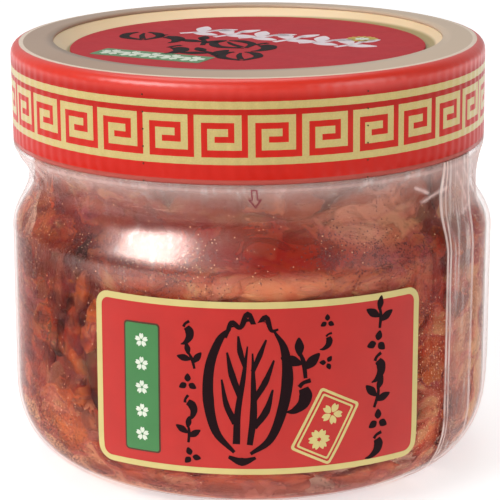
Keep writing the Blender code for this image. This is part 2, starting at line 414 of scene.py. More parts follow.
def filmRadiusAt(height):
    # outer radius of the shrunk film below the lid
    height = np.asarray(height, float)
    out = film["thickness"] + film["gap"]
    body = wallRadiusAt(height, -out)
    t = np.clip((height - jar["shoulderLow"]) / (film["waistLow"] - jar["shoulderLow"]), 0, 1)
    swing = (1 + np.cos(math.pi * t)) / 2
    neck = film["waistRadius"] + (jar["wallRadius"] + out - film["waistRadius"]) * swing
    flare = (lid["radius"] - film["waistRadius"]) * rampUp(height, film["waistHigh"], lid["lowEdge"])
    return np.where(height < jar["shoulderLow"], body, neck + flare)


def seatOnThread(points, share=1.0):
    # the lid sits a little askew: its shift and tilt, which the film over it shares
    points = np.array(points, float)
    x = points[:, 0].copy()
    points[:, 0] += share * (lid["shift"] - lid["tilt"] * (points[:, 2] - lid["lowEdge"]))
    points[:, 2] += share * lid["tilt"] * x
    return points


def seatNeck(points):
    # the film's share of the lid's shift and tilt fades out down the neck
    points = np.array(points, float)
    return seatOnThread(points, rampUp(points[:, 2], film["waistHigh"], lid["lowEdge"]))


def newTree(name, sockets):
    # a Geometry Nodes tree: its named inputs, a function that adds a node and one that ends the tree
    tree = bpy.data.node_groups.new(name, "GeometryNodeTree")
    tree.interface.new_socket("Geometry", in_out="INPUT", socket_type="NodeSocketGeometry")
    for socket, kind in sockets:
        tree.interface.new_socket(socket, in_out="INPUT", socket_type="NodeSocket" + kind)
    tree.interface.new_socket("Geometry", in_out="OUTPUT", socket_type="NodeSocketGeometry")
    start = tree.nodes.new("NodeGroupInput")

    def add(kind, settings, *links):
        made = tree.nodes.new(kind)
        for key, value in settings.items():
            setattr(made, key, value)
        for slot, value in links:
            if isinstance(value, bpy.types.NodeSocket):
                tree.links.new(value, made.inputs[slot])
            else:
                made.inputs[slot].default_value = value
        return made

    def close(geometry):
        tree.links.new(geometry, tree.nodes.new("NodeGroupOutput").inputs[0])
        return tree

    return start.outputs, add, close


# One Geometry Nodes tree wraps a flat strip round the axis, as often as it repeats.
# The strip's x is the turn in radians, its y the radius and its z the height.

def wrapTree():
    inks = ("Ground", "First", "Second", "Third")
    sockets = [("Repeats", "Int"), ("Ridges", "Int"), ("Ridge Depth", "Float")]
    given, add, close = newTree("wrapRound", sockets + [(ink, "Material") for ink in inks])

    def sums(operation, *values):
        return add("ShaderNodeMath", {"operation": operation}, *enumerate(values)).outputs[0]

    def dress(shape, ink, *links):
        links += (("Geometry", shape.outputs[0]), ("Material", given[ink]))
        return add("GeometryNodeSetMaterial", {}, *links)

    pitch = sums("DIVIDE", fullTurn, given["Repeats"])
    offset = add("ShaderNodeCombineXYZ", {}, ("X", pitch)).outputs[0]
    line = add("GeometryNodeMeshLine", {}, ("Count", given["Repeats"]), ("Offset", offset)).outputs[0]
    copies = add("GeometryNodeInstanceOnPoints", {}, ("Points", line), ("Instance", given["Geometry"]))
    real = add("GeometryNodeRealizeInstances", {}, ("Geometry", copies.outputs[0]))
    place = add("ShaderNodeSeparateXYZ", {}, ("Vector", add("GeometryNodeInputPosition", {}).outputs[0]))
    turn, radius, height = place.outputs
    grip = add("GeometryNodeInputNamedAttribute", {"data_type": "FLOAT"}, ("Name", "grip")).outputs[0]
    wave = sums("COSINE", sums("MULTIPLY", turn, given["Ridges"]))
    rounded = sums("MULTIPLY", sums("ADD", wave, -1.0), 0.5)
    reach = sums("ADD", radius, sums("MULTIPLY", sums("MULTIPLY", rounded, given["Ridge Depth"]), grip))
    x = sums("MULTIPLY", reach, sums("SINE", turn))
    y = sums("MULTIPLY", sums("MULTIPLY", reach, sums("COSINE", turn)), -1.0)
    bent = add("ShaderNodeCombineXYZ", {}, ("X", x), ("Y", y), ("Z", height)).outputs[0]
    shape = add("GeometryNodeSetPosition", {}, ("Geometry", real.outputs[0]), ("Position", bent))
    shape = add("GeometryNodeMergeByDistance", {}, ("Geometry", shape.outputs[0]), ("Distance", 0.002 * mm))
    ink = add("GeometryNodeInputNamedAttribute", {"data_type": "INT"}, ("Name", "ink")).outputs[0]
    shape = dress(shape, inks[0])
    for number, name in enumerate(inks[1:], 1):
        chosen = add("FunctionNodeCompare", {"data_type": "INT", "operation": "EQUAL"}, (2, ink), (3, number))
        shape = dress(shape, name, ("Selection", chosen.outputs[0]))
    return close(shape.outputs[0])


def runTree(piece, tree, values):
    modifier = piece.modifiers.new(tree.name, "NODES")
    modifier.node_group = tree
    for item in tree.interface.items_tree:
        if item.item_type == "SOCKET" and item.in_out == "INPUT" and item.name in values:
            modifier[item.identifier] = values[item.name]
    bpy.context.view_layer.update()
    return bake(piece)


def stripPiece(name, turns, outline, grip, inkOf):
    # the flat strip: one column for each turn, one row for each outline point
    outline = np.asarray(outline, float)
    columns = len(turns)
    points = [(turn, radius, height) for radius, height in outline for turn in turns]
    faces, inks = [], []
    for row in range(len(outline) - 1):
        for k in range(columns - 1):
            a = row * columns + k
            faces.append((a, a + columns, a + columns + 1, a + 1))
            inks.append(inkOf((turns[k] + turns[k + 1]) / 2, outline[row:row + 2]))
    piece = meshPiece(name, points, faces, [])
    giveNumbers(piece.data, "grip", [grip(height) for radius, height in outline for turn in turns])
    layer = piece.data.attributes.new("ink", "INT", "FACE")
    layer.data.foreach_set("value", np.asarray(inks, np.int32))
    return piece


# The printed band: the film over the rim and side of the lid, with its lines and key fret

band = {
    "repeats": 30, "ridgeDepth": 0.10 * mm, "upperLine": (4.6 * mm, 6.1 * mm), "fretTop": 7.25 * mm,
    "lowerLine": 17.0 * mm, "hem": 19.95 * mm, "edge": 0.10 * mm,
    # one repeat of the fret, a plain square spiral: its columns and rows in mm, and its red cells
    "across": (1.4, 1.2, 1.4, 1.2, 1.4, 1.2, 1.4, 1.2), "down": (1.5, 1.2, 1.5, 1.2, 1.5, 1.4),
    "red": ("00000001", "01111101", "01000101", "01011101", "01000001", "01111111"),
}


def bandFinishes():
    coat = {"Coat_Roughness": 0.36, "Coat_IOR": 1.9, "Specular_IOR_Level": 0.15}
    red = Finish("bandRed", paint(206, 36, 22), 0.3, **coat)
    cloud = red.noise(9 * mm, 2)
    corner = red.axis("Z").step(lid["top"] - 4.5 * mm, lid["top"] - 2 * mm)
    printed = red.mix(cloud, paint(198, 28, 14), paint(212, 38, 24))
    # painted light: the band's rounded corner is painted a brighter orange red, where light falls on it
    printed = red.mix(corner, printed, paint(226, 44, 20))
    # painted shade: a few mm below the corner the band is painted darker
    under = red.axis("Z").step(lid["top"] - 10 * mm, lid["top"] - 6 * mm) * (1.0 - corner)
    printed = red.mix(under * 0.35, printed, paint(140, 12, 4))
    # below the ridges the film hangs free as a pale, half clear hem
    hem = (1.0 - red.attribute("grip")) * (1.0 - red.axis("Z").step(73 * mm, 75 * mm))
    red.vary(Base_Color=red.mix(hem, printed, paint(206, 92, 80)))
    red.seeThrough(1.0 - hem * 0.35)
    # the film is stretched smooth and shiny round the corner of the lid
    red.vary(Coat_Weight=0.06 + 0.6 * corner)
    crinkle = red.noise(1.6 * mm, 2, stretch=(1.0, 1.0, 0.25)) * 0.25 + red.noise(2.6 * mm, 2) * corner * 1.2
    red.vary(Normal=red.bump(crinkle, 1.0, 0.10 * mm))
    red.vary(Roughness=0.28 + 0.1 * red.noise(3 * mm))
    gold = Finish("bandGold", paint(208, 182, 112), 0.36, Metallic=0.25, Coat_Weight=0.4, Coat_Roughness=0.15)
    fine = gold.noise(0.35 * mm, 2)
    gold.vary(Base_Color=gold.mix(fine, paint(198, 172, 100), paint(218, 194, 124)))
    gold.vary(Normal=gold.bump(gold.noise(1.6 * mm, 2, stretch=(1.0, 1.0, 0.25)), 0.25, 0.10 * mm))
    taupe = Finish("ringFilm", paint(176, 150, 128), 0.4, Coat_Weight=0.15, Coat_Roughness=0.2)
    soft = taupe.noise(14 * mm, 2)
    # painted light and shade: the ring is painted darker on the left and lighter on the right
    across = taupe.axis("X").step(-40 * mm, 40 * mm)
    warm = taupe.mix(across, paint(170, 138, 114), paint(212, 186, 158))
    taupe.vary(Base_Color=taupe.mix(soft * 0.35, warm, paint(196, 172, 150)))
    taupe.vary(Normal=taupe.bump(taupe.noise(2.2 * mm, 2), 0.2, 0.08 * mm))
    cream = Finish("edgeCream", paint(240, 214, 186), 0.3, Coat_Weight=0.3)
    cream.vary(Base_Color=cream.mix(cream.noise(2 * mm), paint(234, 204, 176), paint(246, 224, 200)))
    return red.material, gold.material, taupe.material, cream.material


def rimOutline(inset, cornerPoints):
    centre = (lid["radius"] - lid["corner"], lid["top"] - lid["rimFall"] - lid["corner"])
    radius = lid["corner"] - inset
    top = lid["top"] - inset
    points = [(lid["rimInner"], top), (lid["rimInner"] + 2 * mm, top - 0.02 * mm)]
    points.append((lid["rimFlat"], top - lid["rimFall"]))
    for turn in np.linspace(0, math.pi / 2, cornerPoints)[1:]:
        points.append((centre[0] + radius * math.sin(turn), centre[1] + radius * math.cos(turn)))
    return points


def makeBand(tree):
    red, gold, taupe, cream = bandFinishes()
    top = lid["top"]
    fret = top - band["fretTop"] - np.concatenate([[0], np.cumsum(band["down"]) * mm])
    hem = top - band["hem"]
    rows = [top - band["upperLine"][0], top - band["upperLine"][1], *fret, top - band["lowerLine"]]
    rows += [(rows[-1] + hem) / 2, hem, hem - 0.15 * mm, lid["lowEdge"] + 0.4 * mm]
    # the shrunk film's inner edge turns down onto the lid
    side, low = lid["radius"], lid["lowEdge"]
    outline = [(lid["rimInner"] - 0.12 * mm, top - 0.55 * mm)] + rimOutline(0, 9) + [(side, z) for z in rows]
    outline += [(side - 0.15 * mm, low + 0.1 * mm), (side - 0.5 * mm, low)]
    pitch = fullTurn / band["repeats"]
    across = np.concatenate([[0], np.cumsum(band["across"])]) / sum(band["across"]) * pitch
    turns = [0.0]
    for left, right in zip(across, across[1:]):
        turns += list(np.linspace(left, right, 4)[1:])

    def ink(turn, ends):
        height, radius = ends[:, 1].mean(), ends[:, 0].mean()
        if height > top - lid["rimFall"] - band["edge"]:
            return 2 if radius < lid["rimFlat"] else 3
        if radius < lid["rimInner"]:
            return 2
        if top - band["upperLine"][1] < height < top - band["upperLine"][0]:
            return 1
        if fret[-1] < height < fret[0]:
            row = np.searchsorted(-fret, -height) - 1
            column = np.searchsorted(across, turn) - 1
            return 0 if band["red"][row][column] == "1" else 1
        return 1 if top - band["lowerLine"] < height < fret[-1] else 0

    def grip(height):
        return float(rampUp(top - height, 1.0 * mm, 3.5 * mm)) * float(height > hem - 0.05 * mm)

    piece = stripPiece("printedBand", turns, outline, grip, ink)
    runTree(piece, tree, {
        "Repeats": band["repeats"], "Ridges": lid["ridges"], "Ridge Depth": band["ridgeDepth"],
        "Ground": red, "First": gold, "Second": taupe, "Third": cream,
    })
    movePoints(piece.data, seatOnThread(pointsOf(piece.data)))
    thicken(piece, film["thickness"] * 0.6)
    piece.data.shade_smooth()
    print("printed band ready")
    return piece


# The lid: cream plastic with upright grip ridges and a sunk top

def makeLid(tree):
    cream = Finish("lidCream", paint(244, 214, 168), 0.38, Coat_Weight=0.1,
                   Subsurface_Weight=0.1, Subsurface_Radius=(4 * mm, 2 * mm, 1 * mm))
    cloud = cream.noise(12 * mm, 2)
    recessFoot = lid["rimInner"] - lid["recessSlope"]
    # painted shadow: the recess is painted dark olive at its foot, round the disc
    recessShadow = cream.fromAxis().step(recessFoot - 0.2 * mm, recessFoot + 0.5 * mm)
    warm = cream.mix(cloud, paint(240, 208, 160), paint(250, 222, 180))
    cream.vary(Base_Color=cream.mix(recessShadow, paint(168, 146, 92), warm))
    cream.vary(Normal=cream.bump(cream.noise(0.5 * mm, 2), 0.12, 0.05 * mm))
    inset = film["thickness"] + film["gap"]
    floor = lid["top"] - inset - lid["recessDepth"]
    side = lid["radius"] - inset
    low = lid["lowEdge"] + inset
    under = floor - lid["panel"]
    outline = [(hub, floor), (recessFoot - 0.6 * mm, floor), (recessFoot - 0.1 * mm, floor + 0.1 * mm)]
    outline += [(lid["rimInner"] - 0.5 * mm, lid["top"] - inset - 0.3 * mm)]
    outline += [(lid["rimInner"] + 0.1 * mm, lid["top"] - inset)]
    outline += rimOutline(inset, 6)[1:]
    outline += [(side, low + 0.8 * mm), (side - 0.2 * mm, low + 0.2 * mm), (side - 0.7 * mm, low)]
    outline += [(side - lid["skirt"], low), (side - lid["skirt"], under), (hub, under)]

    def grip(height):
        return float(rampUp(lid["top"] - height, 3.5 * mm, 4.5 * mm)) * float(height > low + 0.5 * mm)

    columns = 4
    turns = [fullTurn / lid["ridges"] * k / columns for k in range(columns + 1)]
    piece = stripPiece("lidCap", turns, outline, grip, lambda turn, ends: 0)
    runTree(piece, tree, {
        "Repeats": lid["ridges"], "Ridges": lid["ridges"], "Ridge Depth": lid["ridgeDepth"],
        **{ink: cream.material for ink in ("Ground", "First", "Second", "Third")},
    })
    closeEnds(piece.data)
    movePoints(piece.data, seatOnThread(pointsOf(piece.data)))
    piece.data.shade_smooth()
    piece.data.set_sharp_from_angle(angle=math.radians(50))
    print("lid ready")
    return piece


def closeEnds(mesh):
    bm = bmesh.new()
    bm.from_mesh(mesh)
    bmesh.ops.holes_fill(bm, edges=[e for e in bm.edges if e.is_boundary], sides=0)
    bmesh.ops.recalc_face_normals(bm, faces=bm.faces)
    bm.to_mesh(mesh)
    bm.free()


# Flat print shapes, drawn in millimetres and then laid on the side of the jar or on the lid

def roundedBox(width, height, corner, steps=6):
    points = []
    for cx, cy, start in ((1, 1, 0), (-1, 1, 90), (-1, -1, 180), (1, -1, 270)):
        for k in range(steps + 1):
            turn = math.radians(start + 90 * k / steps)
            x = cx * (width / 2 - corner) + corner * math.cos(turn)
            points.append((x, cy * (height / 2 - corner) + corner * math.sin(turn)))
    return points


def between(p0, p1, p2, p3, t):
    # a smooth curve from p1 to p2, led by the points before and after them
    return 0.5 * (2 * p1 + (p2 - p0) * t + (2 * p0 - 5 * p1 + 4 * p2 - p3) * t ** 2
                  + (3 * p1 - p0 - 3 * p2 + p3) * t ** 3)


def smoothLoop(points, steps=5):
    # a closed curve through the given points
    points = np.asarray(points, float)
    count = len(points)
    made = []
    for k in range(count):
        p0, p1, p2, p3 = points[k - 1], points[k], points[(k + 1) % count], points[(k + 2) % count]
        made += [between(p0, p1, p2, p3, s / steps) for s in range(steps)]
    return [tuple(p) for p in made]


def brushStroke(path, widths, steps=6):
    # a stroke with a swelling width, along a curve through the points
    path = np.asarray(path, float)
    padded = np.vstack([2 * path[0] - path[1], path, 2 * path[-1] - path[-2]])
    spine, wide = [], []
    for k in range(1, len(padded) - 2):
        p0, p1, p2, p3 = padded[k - 1:k + 3]
        for s in range(steps + (k == len(padded) - 3)):
            t = s / steps
            spine.append(between(p0, p1, p2, p3, t))
            wide.append(widths[k - 1] * (1 - t) + widths[min(k, len(widths) - 1)] * t)
    spine, wide = np.array(spine), np.array(wide)
    along = np.gradient(spine, axis=0)
    along /= np.maximum(np.linalg.norm(along, axis=1, keepdims=True), 1e-9)
    across = np.stack([-along[:, 1], along[:, 0]], 1) * wide[:, None] / 2
    return [tuple(p) for p in np.vstack([spine + across, (spine - across)[::-1]])]


def turnedShape(points, degrees, dx=0.0, dy=0.0, size=1.0):
    a = math.radians(degrees)
    c, s = size * math.cos(a), size * math.sin(a)
    return [(dx + x * c - y * s, dy + x * s + y * c) for x, y in points]


def flatSlab(outlines, holes, thickness, cutStep):
    # closed slab of several outlines, cut into narrow strips so that it can bend
    bm = bmesh.new()
    for outline in outlines:
        verts = [bm.verts.new((x * mm, y * mm, 0)) for x, y in outline]
        edges = [bm.edges.new((verts[k], verts[(k + 1) % len(verts)])) for k in range(len(verts))]
        inner = []
        for hole in holes:
            ring = [bm.verts.new((x * mm, y * mm, 0)) for x, y in hole]
            inner += [bm.edges.new((ring[k], ring[(k + 1) % len(ring)])) for k in range(len(ring))]
        both = edges + inner
        bmesh.ops.triangle_fill(bm, use_beauty=True, use_dissolve=False, edges=both, normal=(0, 0, 1))
    bmesh.ops.recalc_face_normals(bm, faces=bm.faces)
    low = [min(v.co[i] for v in bm.verts) for i in range(2)]
    high = [max(v.co[i] for v in bm.verts) for i in range(2)]
    for i in range(2):
        normal = (1, 0, 0) if i == 0 else (0, 1, 0)
        for k in range(1, int((high[i] - low[i]) / cutStep) + 1):
            spot = [0, 0, 0]
            spot[i] = low[i] + k * cutStep
            geom = list(bm.verts) + list(bm.edges) + list(bm.faces)
            bmesh.ops.bisect_plane(bm, geom=geom, plane_co=spot, plane_no=normal, dist=1e-7)
    for face in bm.faces:
        if face.normal.z < 0:
            face.normal_flip()
    grown = bmesh.ops.extrude_face_region(bm, geom=list(bm.faces))
    for item in grown["geom"]:
        if isinstance(item, bmesh.types.BMVert):
            item.co.z += thickness
    bmesh.ops.recalc_face_normals(bm, faces=bm.faces)
    return bm


def slabPiece(name, bm, finish, bend):
    mesh = bpy.data.meshes.new(name)
    bm.to_mesh(mesh)
    bm.free()
    mesh.materials.append(finish)
    movePoints(mesh, bend(pointsOf(mesh)))
    mesh.shade_smooth()
    mesh.set_sharp_from_angle(angle=math.radians(40))
    piece = bpy.data.objects.new(name, mesh)
    bpy.context.scene.collection.objects.link(piece)
    return piece


# The front label, printed on the film. It follows the heel, its middle a little right of the front.
# Widths and heights are in mm.

label = {
    "turn": math.radians(2.0), "middle": 28.2 * mm, "width": 69.6, "height": 36.0, "border": 1.35,
    "corner": 3.0, "lift": 0.05 * mm, "sheet": 0.06 * mm, "layer": 0.04 * mm, "apart": 0.004 * mm,
    "green": {"x": -24.1, "y": -0.9, "width": 7.2, "height": 26.4, "outline": 0.35},
    "plaque": {"x": 13.2, "y": -8.3, "width": 9.2, "height": 14.0, "tilt": -27.0},
}


def onSide(lift):
    def bend(points):
        turn = label["turn"] + points[:, 0] / (jar["wallRadius"] + 0.5 * mm)
        height = label["middle"] + points[:, 1]
        radius = filmRadiusAt(height) + lift + points[:, 2]
        return np.stack([radius * np.sin(turn), -radius * np.cos(turn), height], 1)
    return bend


leafShape = smoothLoop([(0, -3.0), (1.3, -1.2), (1.5, 0.6), (0.2, 3.1), (-1.2, 0.9), (-1.1, -1.1)])


def sprig(x, y, size, turn=0.0):
    # a small brush sprig: a stem and leaves
    shapes = [brushStroke([(0.1, -2.6), (0.3, 0), (-0.1, 2.2)], [0.6, 0.75, 0.4])]
    shapes += [turnedShape(leafShape, -56, 1.55, -0.2, 0.56), turnedShape(leafShape, 60, -1.45, 0.6, 0.58)]
    shapes += [turnedShape(leafShape, -8, 0.1, 2.5, 0.5)]
    return [turnedShape(shape, turn, x, y, size) for shape in shapes]


def chilli(x, y, size, turn=0.0):
    # a small brush chilli: a curved pod and its stalk
    curve = [(-0.2, 1.6), (0.5, 0.6), (0.5, -0.8), (-0.5, -2.2), (-1.6, -2.7)]
    pod = brushStroke(curve, [1.5, 2.1, 1.8, 1.0, 0.2])
    stalk = brushStroke([(-0.9, 1.6), (-0.5, 2.4), (0.5, 3.1)], [0.7, 0.6, 0.7])
    return [turnedShape(shape, turn, x, y, size) for shape in (pod, stalk)]


def seedDots(x, y, size, turn=0.0):
    # three seeds in a ring
    seed = smoothLoop([(0, 0.35), (0.8, 1.2), (0, 2.4), (-0.8, 1.2)])
    return [turnedShape(seed, turn + 120 * k, x, y, size) for k in range(3)]


def cabbage(x, y, size):
    # a long cabbage head in bold brush strokes: two outer leaves, frilled tips, ribs with veins and a root
    strokes = (
        (((-1.6, -13.6), (-5.6, -9.6), (-7.6, -3.0), (-7.8, 4.0), (-6.2, 9.8), (-4.2, 12.4)),
         (0.7, 1.7, 2.3, 2.0, 1.5, 0.6)),
        (((1.7, -13.7), (5.4, -10.4), (7.4, -4.2), (8.0, 2.6), (6.9, 8.8), (4.7, 12.3)),
         (0.7, 1.6, 2.1, 2.4, 1.6, 0.5)),
        (((-5.0, 10.4), (-4.0, 13.6), (-2.2, 12.8), (-0.9, 15.6), (0.9, 13.2), (2.7, 15.2), (4.0, 12.6),
          (5.4, 12.9)), (0.5, 1.2, 0.9, 1.4, 0.8, 1.3, 0.8, 0.4)),
        (((-1.3, -11.8), (-1.5, -5.0), (-0.9, 2.0), (-0.5, 9.0)), (1.5, 1.3, 1.0, 0.3)),
        (((1.4, -11.8), (1.7, -5.4), (1.2, 1.4), (0.6, 7.6)), (1.2, 1.5, 1.0, 0.3)),
        (((-1.8, -7.4), (-3.9, -3.6), (-5.2, 1.6)), (1.4, 1.2, 0.4)),
        (((-1.3, -1.6), (-3.2, 2.8), (-4.5, 7.4)), (1.2, 1.4, 0.4)),
        (((-0.7, 4.6), (-1.9, 7.8), (-2.5, 11.0)), (0.8, 1.2, 0.4)),
        (((2.0, -8.0), (4.2, -4.4), (5.2, 0.2)), (1.2, 1.5, 0.4)),
        (((1.6, -2.2), (3.6, 1.8), (5.0, 6.4)), (1.1, 1.3, 0.4)),
        (((0.9, 3.8), (2.1, 7.4), (3.1, 10.6)), (0.9, 1.1, 0.4)),
        (((-2.7, -14.7), (0.1, -15.6), (2.8, -14.5)), (0.7, 1.9, 0.6)),
    )
    return [turnedShape(brushStroke(path, widths), -4, x, y, size) for path, widths in strokes]


def cabbageMark(x, y, size, turn=0.0):
    # a small brush cabbage: two leaf curves round a rib
    shapes = [brushStroke([(0.2, -3.0), (-2.0, -1.0), (-1.9, 1.4), (-0.6, 2.8)], [0.5, 1.3, 1.2, 0.4])]
    shapes += [brushStroke([(0.4, -3.0), (2.2, -0.8), (1.9, 1.5), (0.7, 2.7)], [0.5, 1.1, 1.3, 0.4])]
    shapes += [brushStroke([(0.2, -2.2), (0.0, 0.2), (0.2, 2.0)], [0.8, 0.7, 0.3])]
    return [turnedShape(shape, turn, x, y, size) for shape in shapes]


def blossom(x, y, size, petals=5):
    petal = smoothLoop([(0, 0.35), (0.75, 1.3), (0.45, 2.3), (0, 2.0), (-0.45, 2.3), (-0.75, 1.3)], 4)
    return [turnedShape(petal, 360 / petals * k, x, y, size) for k in range(petals)]


def printFinishes():
    made = {}
    colours = {
        "labelRed": (194, 46, 40), "labelGold": (214, 196, 128), "labelGreen": (72, 132, 76),
        "labelDark": (84, 52, 32), "inkBlack": (32, 14, 18), "palePrint": (226, 232, 214),
        "discRed": (188, 50, 58), "discPale": (232, 218, 222), "discGold": (206, 176, 92),
    }
    for name, colour in colours.items():
        satin = name.startswith("disc") or name == "inkBlack"
        gloss = {"Coat_Weight": 0.0 if satin else 0.1, "Specular_IOR_Level": 0.08 if satin else 0.25}
        finish = Finish(name, paint(*colour), 0.34, Coat_Roughness=0.14, **gloss)
        cloud = finish.noise(6 * mm, 3)
        darker = paint(*(c * 0.95 for c in colour))
        lighter = paint(*(min(c * 1.05, 255) for c in colour))
        finish.vary(Base_Color=finish.mix(cloud, darker, lighter))
        finish.vary(Normal=finish.bump(finish.noise(2.4 * mm, 2), 0.15, 0.08 * mm))
        finish.vary(Roughness=(0.5 if satin else 0.28) + 0.12 * finish.noise(1.2 * mm))
        made[name] = finish.material
    made["arrowRed"] = Finish("arrowRed", paint(132, 34, 52), 0.4).material
    return made


def makeLabel(prints):
    lift, sheet, layer = label["lift"], label["sheet"], label["layer"]
    width, height, border = label["width"], label["height"], label["border"]
    pieces = []

    def lay(name, outlines, finish, level, holes=()):
        depth = sheet if level == 0 else layer
        raised = lift + (sheet + (level - 1) * layer if level else 0) + label["apart"] * level
        slab = flatSlab(outlines, holes, depth, 1.6 * mm)
        pieces.append(slabPiece(name, slab, prints[finish], onSide(raised)))

    inner = roundedBox(width - 2 * border, height - 2 * border, label["corner"] - border)
    field = roundedBox(width - border, height - border, label["corner"] - border / 2)
    lay("labelField", [field], "labelRed", 0)
    lay("labelBorder", [roundedBox(width, height, label["corner"])], "labelGold", 1, [inner])
    green = label["green"]
    panel = roundedBox(green["width"], green["height"], 0.6)
    rim = roundedBox(green["width"] + 2 * green["outline"], green["height"] + 2 * green["outline"], 0.8)
    lay("greenPanelEdge", [turnedShape(rim, 0, green["x"], green["y"])], "labelDark", 1)
    lay("greenPanel", [turnedShape(panel, 0, green["x"], green["y"])], "labelGreen", 2)
    pale = []
    for k in range(5):
        pale += blossom(green["x"], green["y"] + (2 - k) * 4.9, 0.62)
    lay("palePetals", pale, "palePrint", 3)
    ink = cabbage(-2.6, 0.2, 0.98)
    for k in range(6):
        mark = (chilli, sprig, seedDots)[k % 3]
        ink += mark(-14.4 + 0.6 * (k % 2), 11.2 - 5.1 * k, 0.84, 20 * (k % 2))
    for k, mark in enumerate((sprig, chilli)):
        ink += mark(8.2, 5.4 - 7.4 * k, 1.3, 12 - 30 * k)
    for k, mark in enumerate((seedDots, chilli, seedDots)):
        ink += mark(13.4, 13.4 - 4.2 * k, 0.66, -18 * k)
    for k in range(6):
        mark = (sprig, seedDots, chilli)[k % 3]
        ink += mark(24.8 - 0.4 * (k % 2), 13.4 - 5.5 * k, 1.02, -14 * (k % 2))
    lay("brushMarks", ink, "inkBlack", 1)
    plaque = label["plaque"]

    def onPlaque(shape):
        return turnedShape(shape, plaque["tilt"], plaque["x"], plaque["y"])

    wide, tall = plaque["width"], plaque["height"]
    lay("plaqueOuter", [onPlaque(roundedBox(wide, tall, 0.7))], "labelGold", 1,
        [onPlaque(roundedBox(wide - 1.1, tall - 1.1, 0.4))])
    lay("plaqueInner", [onPlaque(roundedBox(wide - 1.9, tall - 1.9, 0.4))], "labelGold", 1,
        [onPlaque(roundedBox(wide - 2.7, tall - 2.7, 0.3))])
    flowers = [onPlaque(shape) for shape in blossom(0, 2.9, 0.95) + blossom(0, -2.9, 0.95, 6)]
    lay("plaqueFlowers", flowers, "labelGold", 1)
    print("front label ready")
    return pieces


# The printed disc in the lid's recess

disc = {
    "radius": 37.6, "edge": 0.15, "thickness": 0.3 * mm, "layer": 0.04 * mm, "columns": 120,
    # tilt in degrees and middle in mm
    "panel": (-28, -19.8, -12.8),
}


def makeDisc(prints):
    floor = lid["top"] - film["thickness"] - film["gap"] - lid["recessDepth"]
    low = floor + film["gap"]
    high = low + disc["thickness"]
    radius, edge = disc["radius"], disc["edge"]
    outline = [((radius - edge) * mm, high), (radius * mm, high - edge * mm), (radius * mm, low)]
    points, faces = closedRing(outline, disc["columns"], capStart=True, capEnd=True)
    card = meshPiece("lidDisc", points, faces, [prints["discRed"]])
    movePoints(card.data, seatOnThread(pointsOf(card.data)))
    card.data.set_sharp_from_angle(angle=math.radians(40))
    pieces = [card]

    def onDisc(points):
        points = np.array(points)
        points[:, 2] += high + label["apart"]
        return seatOnThread(points)

    def lay(name, outlines, finish, level=0):
        slab = flatSlab(outlines, (), disc["layer"] * (1 + level), 20 * mm)
        pieces.append(slabPiece(name, slab, prints[finish], onDisc))

    # rows of bold brush marks that run down to the right
    white = []
    for k in range(6):
        white += sprig(-10 + 6.4 * k, 17 - 3.5 * k, 2.0, -70 + 24 * (k % 2))
    lay("discSprigs", white, "discPale")
    black = []
    for x, y, count in ((-23, 12, 5), (-15, -6, 3)):
        for k in range(count):
            mark = (chilli, sprig, cabbageMark)[(k + count) % 3]
            black += mark(x + 6.6 * k, y - 4.0 * k, 1.75, 24 * (k % 2))
    lay("discMarks", black, "inkBlack")
    panel = turnedShape(roundedBox(26, 7.4, 0.5), *disc["panel"])
    lay("discPanel", [panel], "labelGreen")
    pale = []
    for k in range(5):
        pale += [turnedShape(shape, *disc["panel"]) for shape in blossom(-9.6 + 4.8 * k, 0, 1.15)]
    lay("discPetals", pale, "palePrint", 1)
    lay("discOrnament", blossom(24.5, 5.5, 1.5, 8), "discGold")
    lay("discOrnamentHeart", blossom(24.5, 5.5, 0.7, 6), "palePrint", 1)
    print("lid disc ready")
    return pieces


# The clear film from the lid's lower edge down to the heel, with its pleats, tent and welded overlap

clearFilm = {
    "seed": 5, "pleats": 0.10 * mm, "foldHeight": 68.1 * mm, "slack": 0.45 * mm,
    "seamTurn": math.radians(57.2), "seamHalf": math.radians(6.0), "seamLift": 0.35 * mm,
    "tentTurn": math.radians(62), "tentHalf": math.radians(13), "tentLow": 50.5 * mm,
    # thin bright lines: turn and half-width in degrees, strength
    "lines": ((51.2, 0.38, 0.65), (52.4, 0.30, 0.5), (62.9, 0.9, 0.4)),
    # crumple creases by the tent, pale lines that are partly milky film and partly painted highlights:
    # turn and height of both ends, strength
    "creases": ((43.0, 65.2, 47.4, 63.6, 0.9), (46.0, 61.9, 52.5, 64.1, 0.8),
                (57.0, 66.5, 61.0, 60.5, 0.7), (60.0, 67.0, 66.0, 61.5, 0.6), (58.5, 58.0, 64.0, 60.0, 0.5)),
}


def sumOfWaves(turn, height, seed, waves, size):
    # smooth seeded unevenness round the jar
    rng = np.random.default_rng(seed)
    made = np.zeros(np.broadcast(turn, height).shape)
    for k in range(waves):
        around = rng.integers(3, 60)
        up = rng.uniform(-1, 1) * fullTurn / size
        made += np.sin(around * turn + up * height + rng.uniform(0, fullTurn)) / waves ** 0.5
    return made


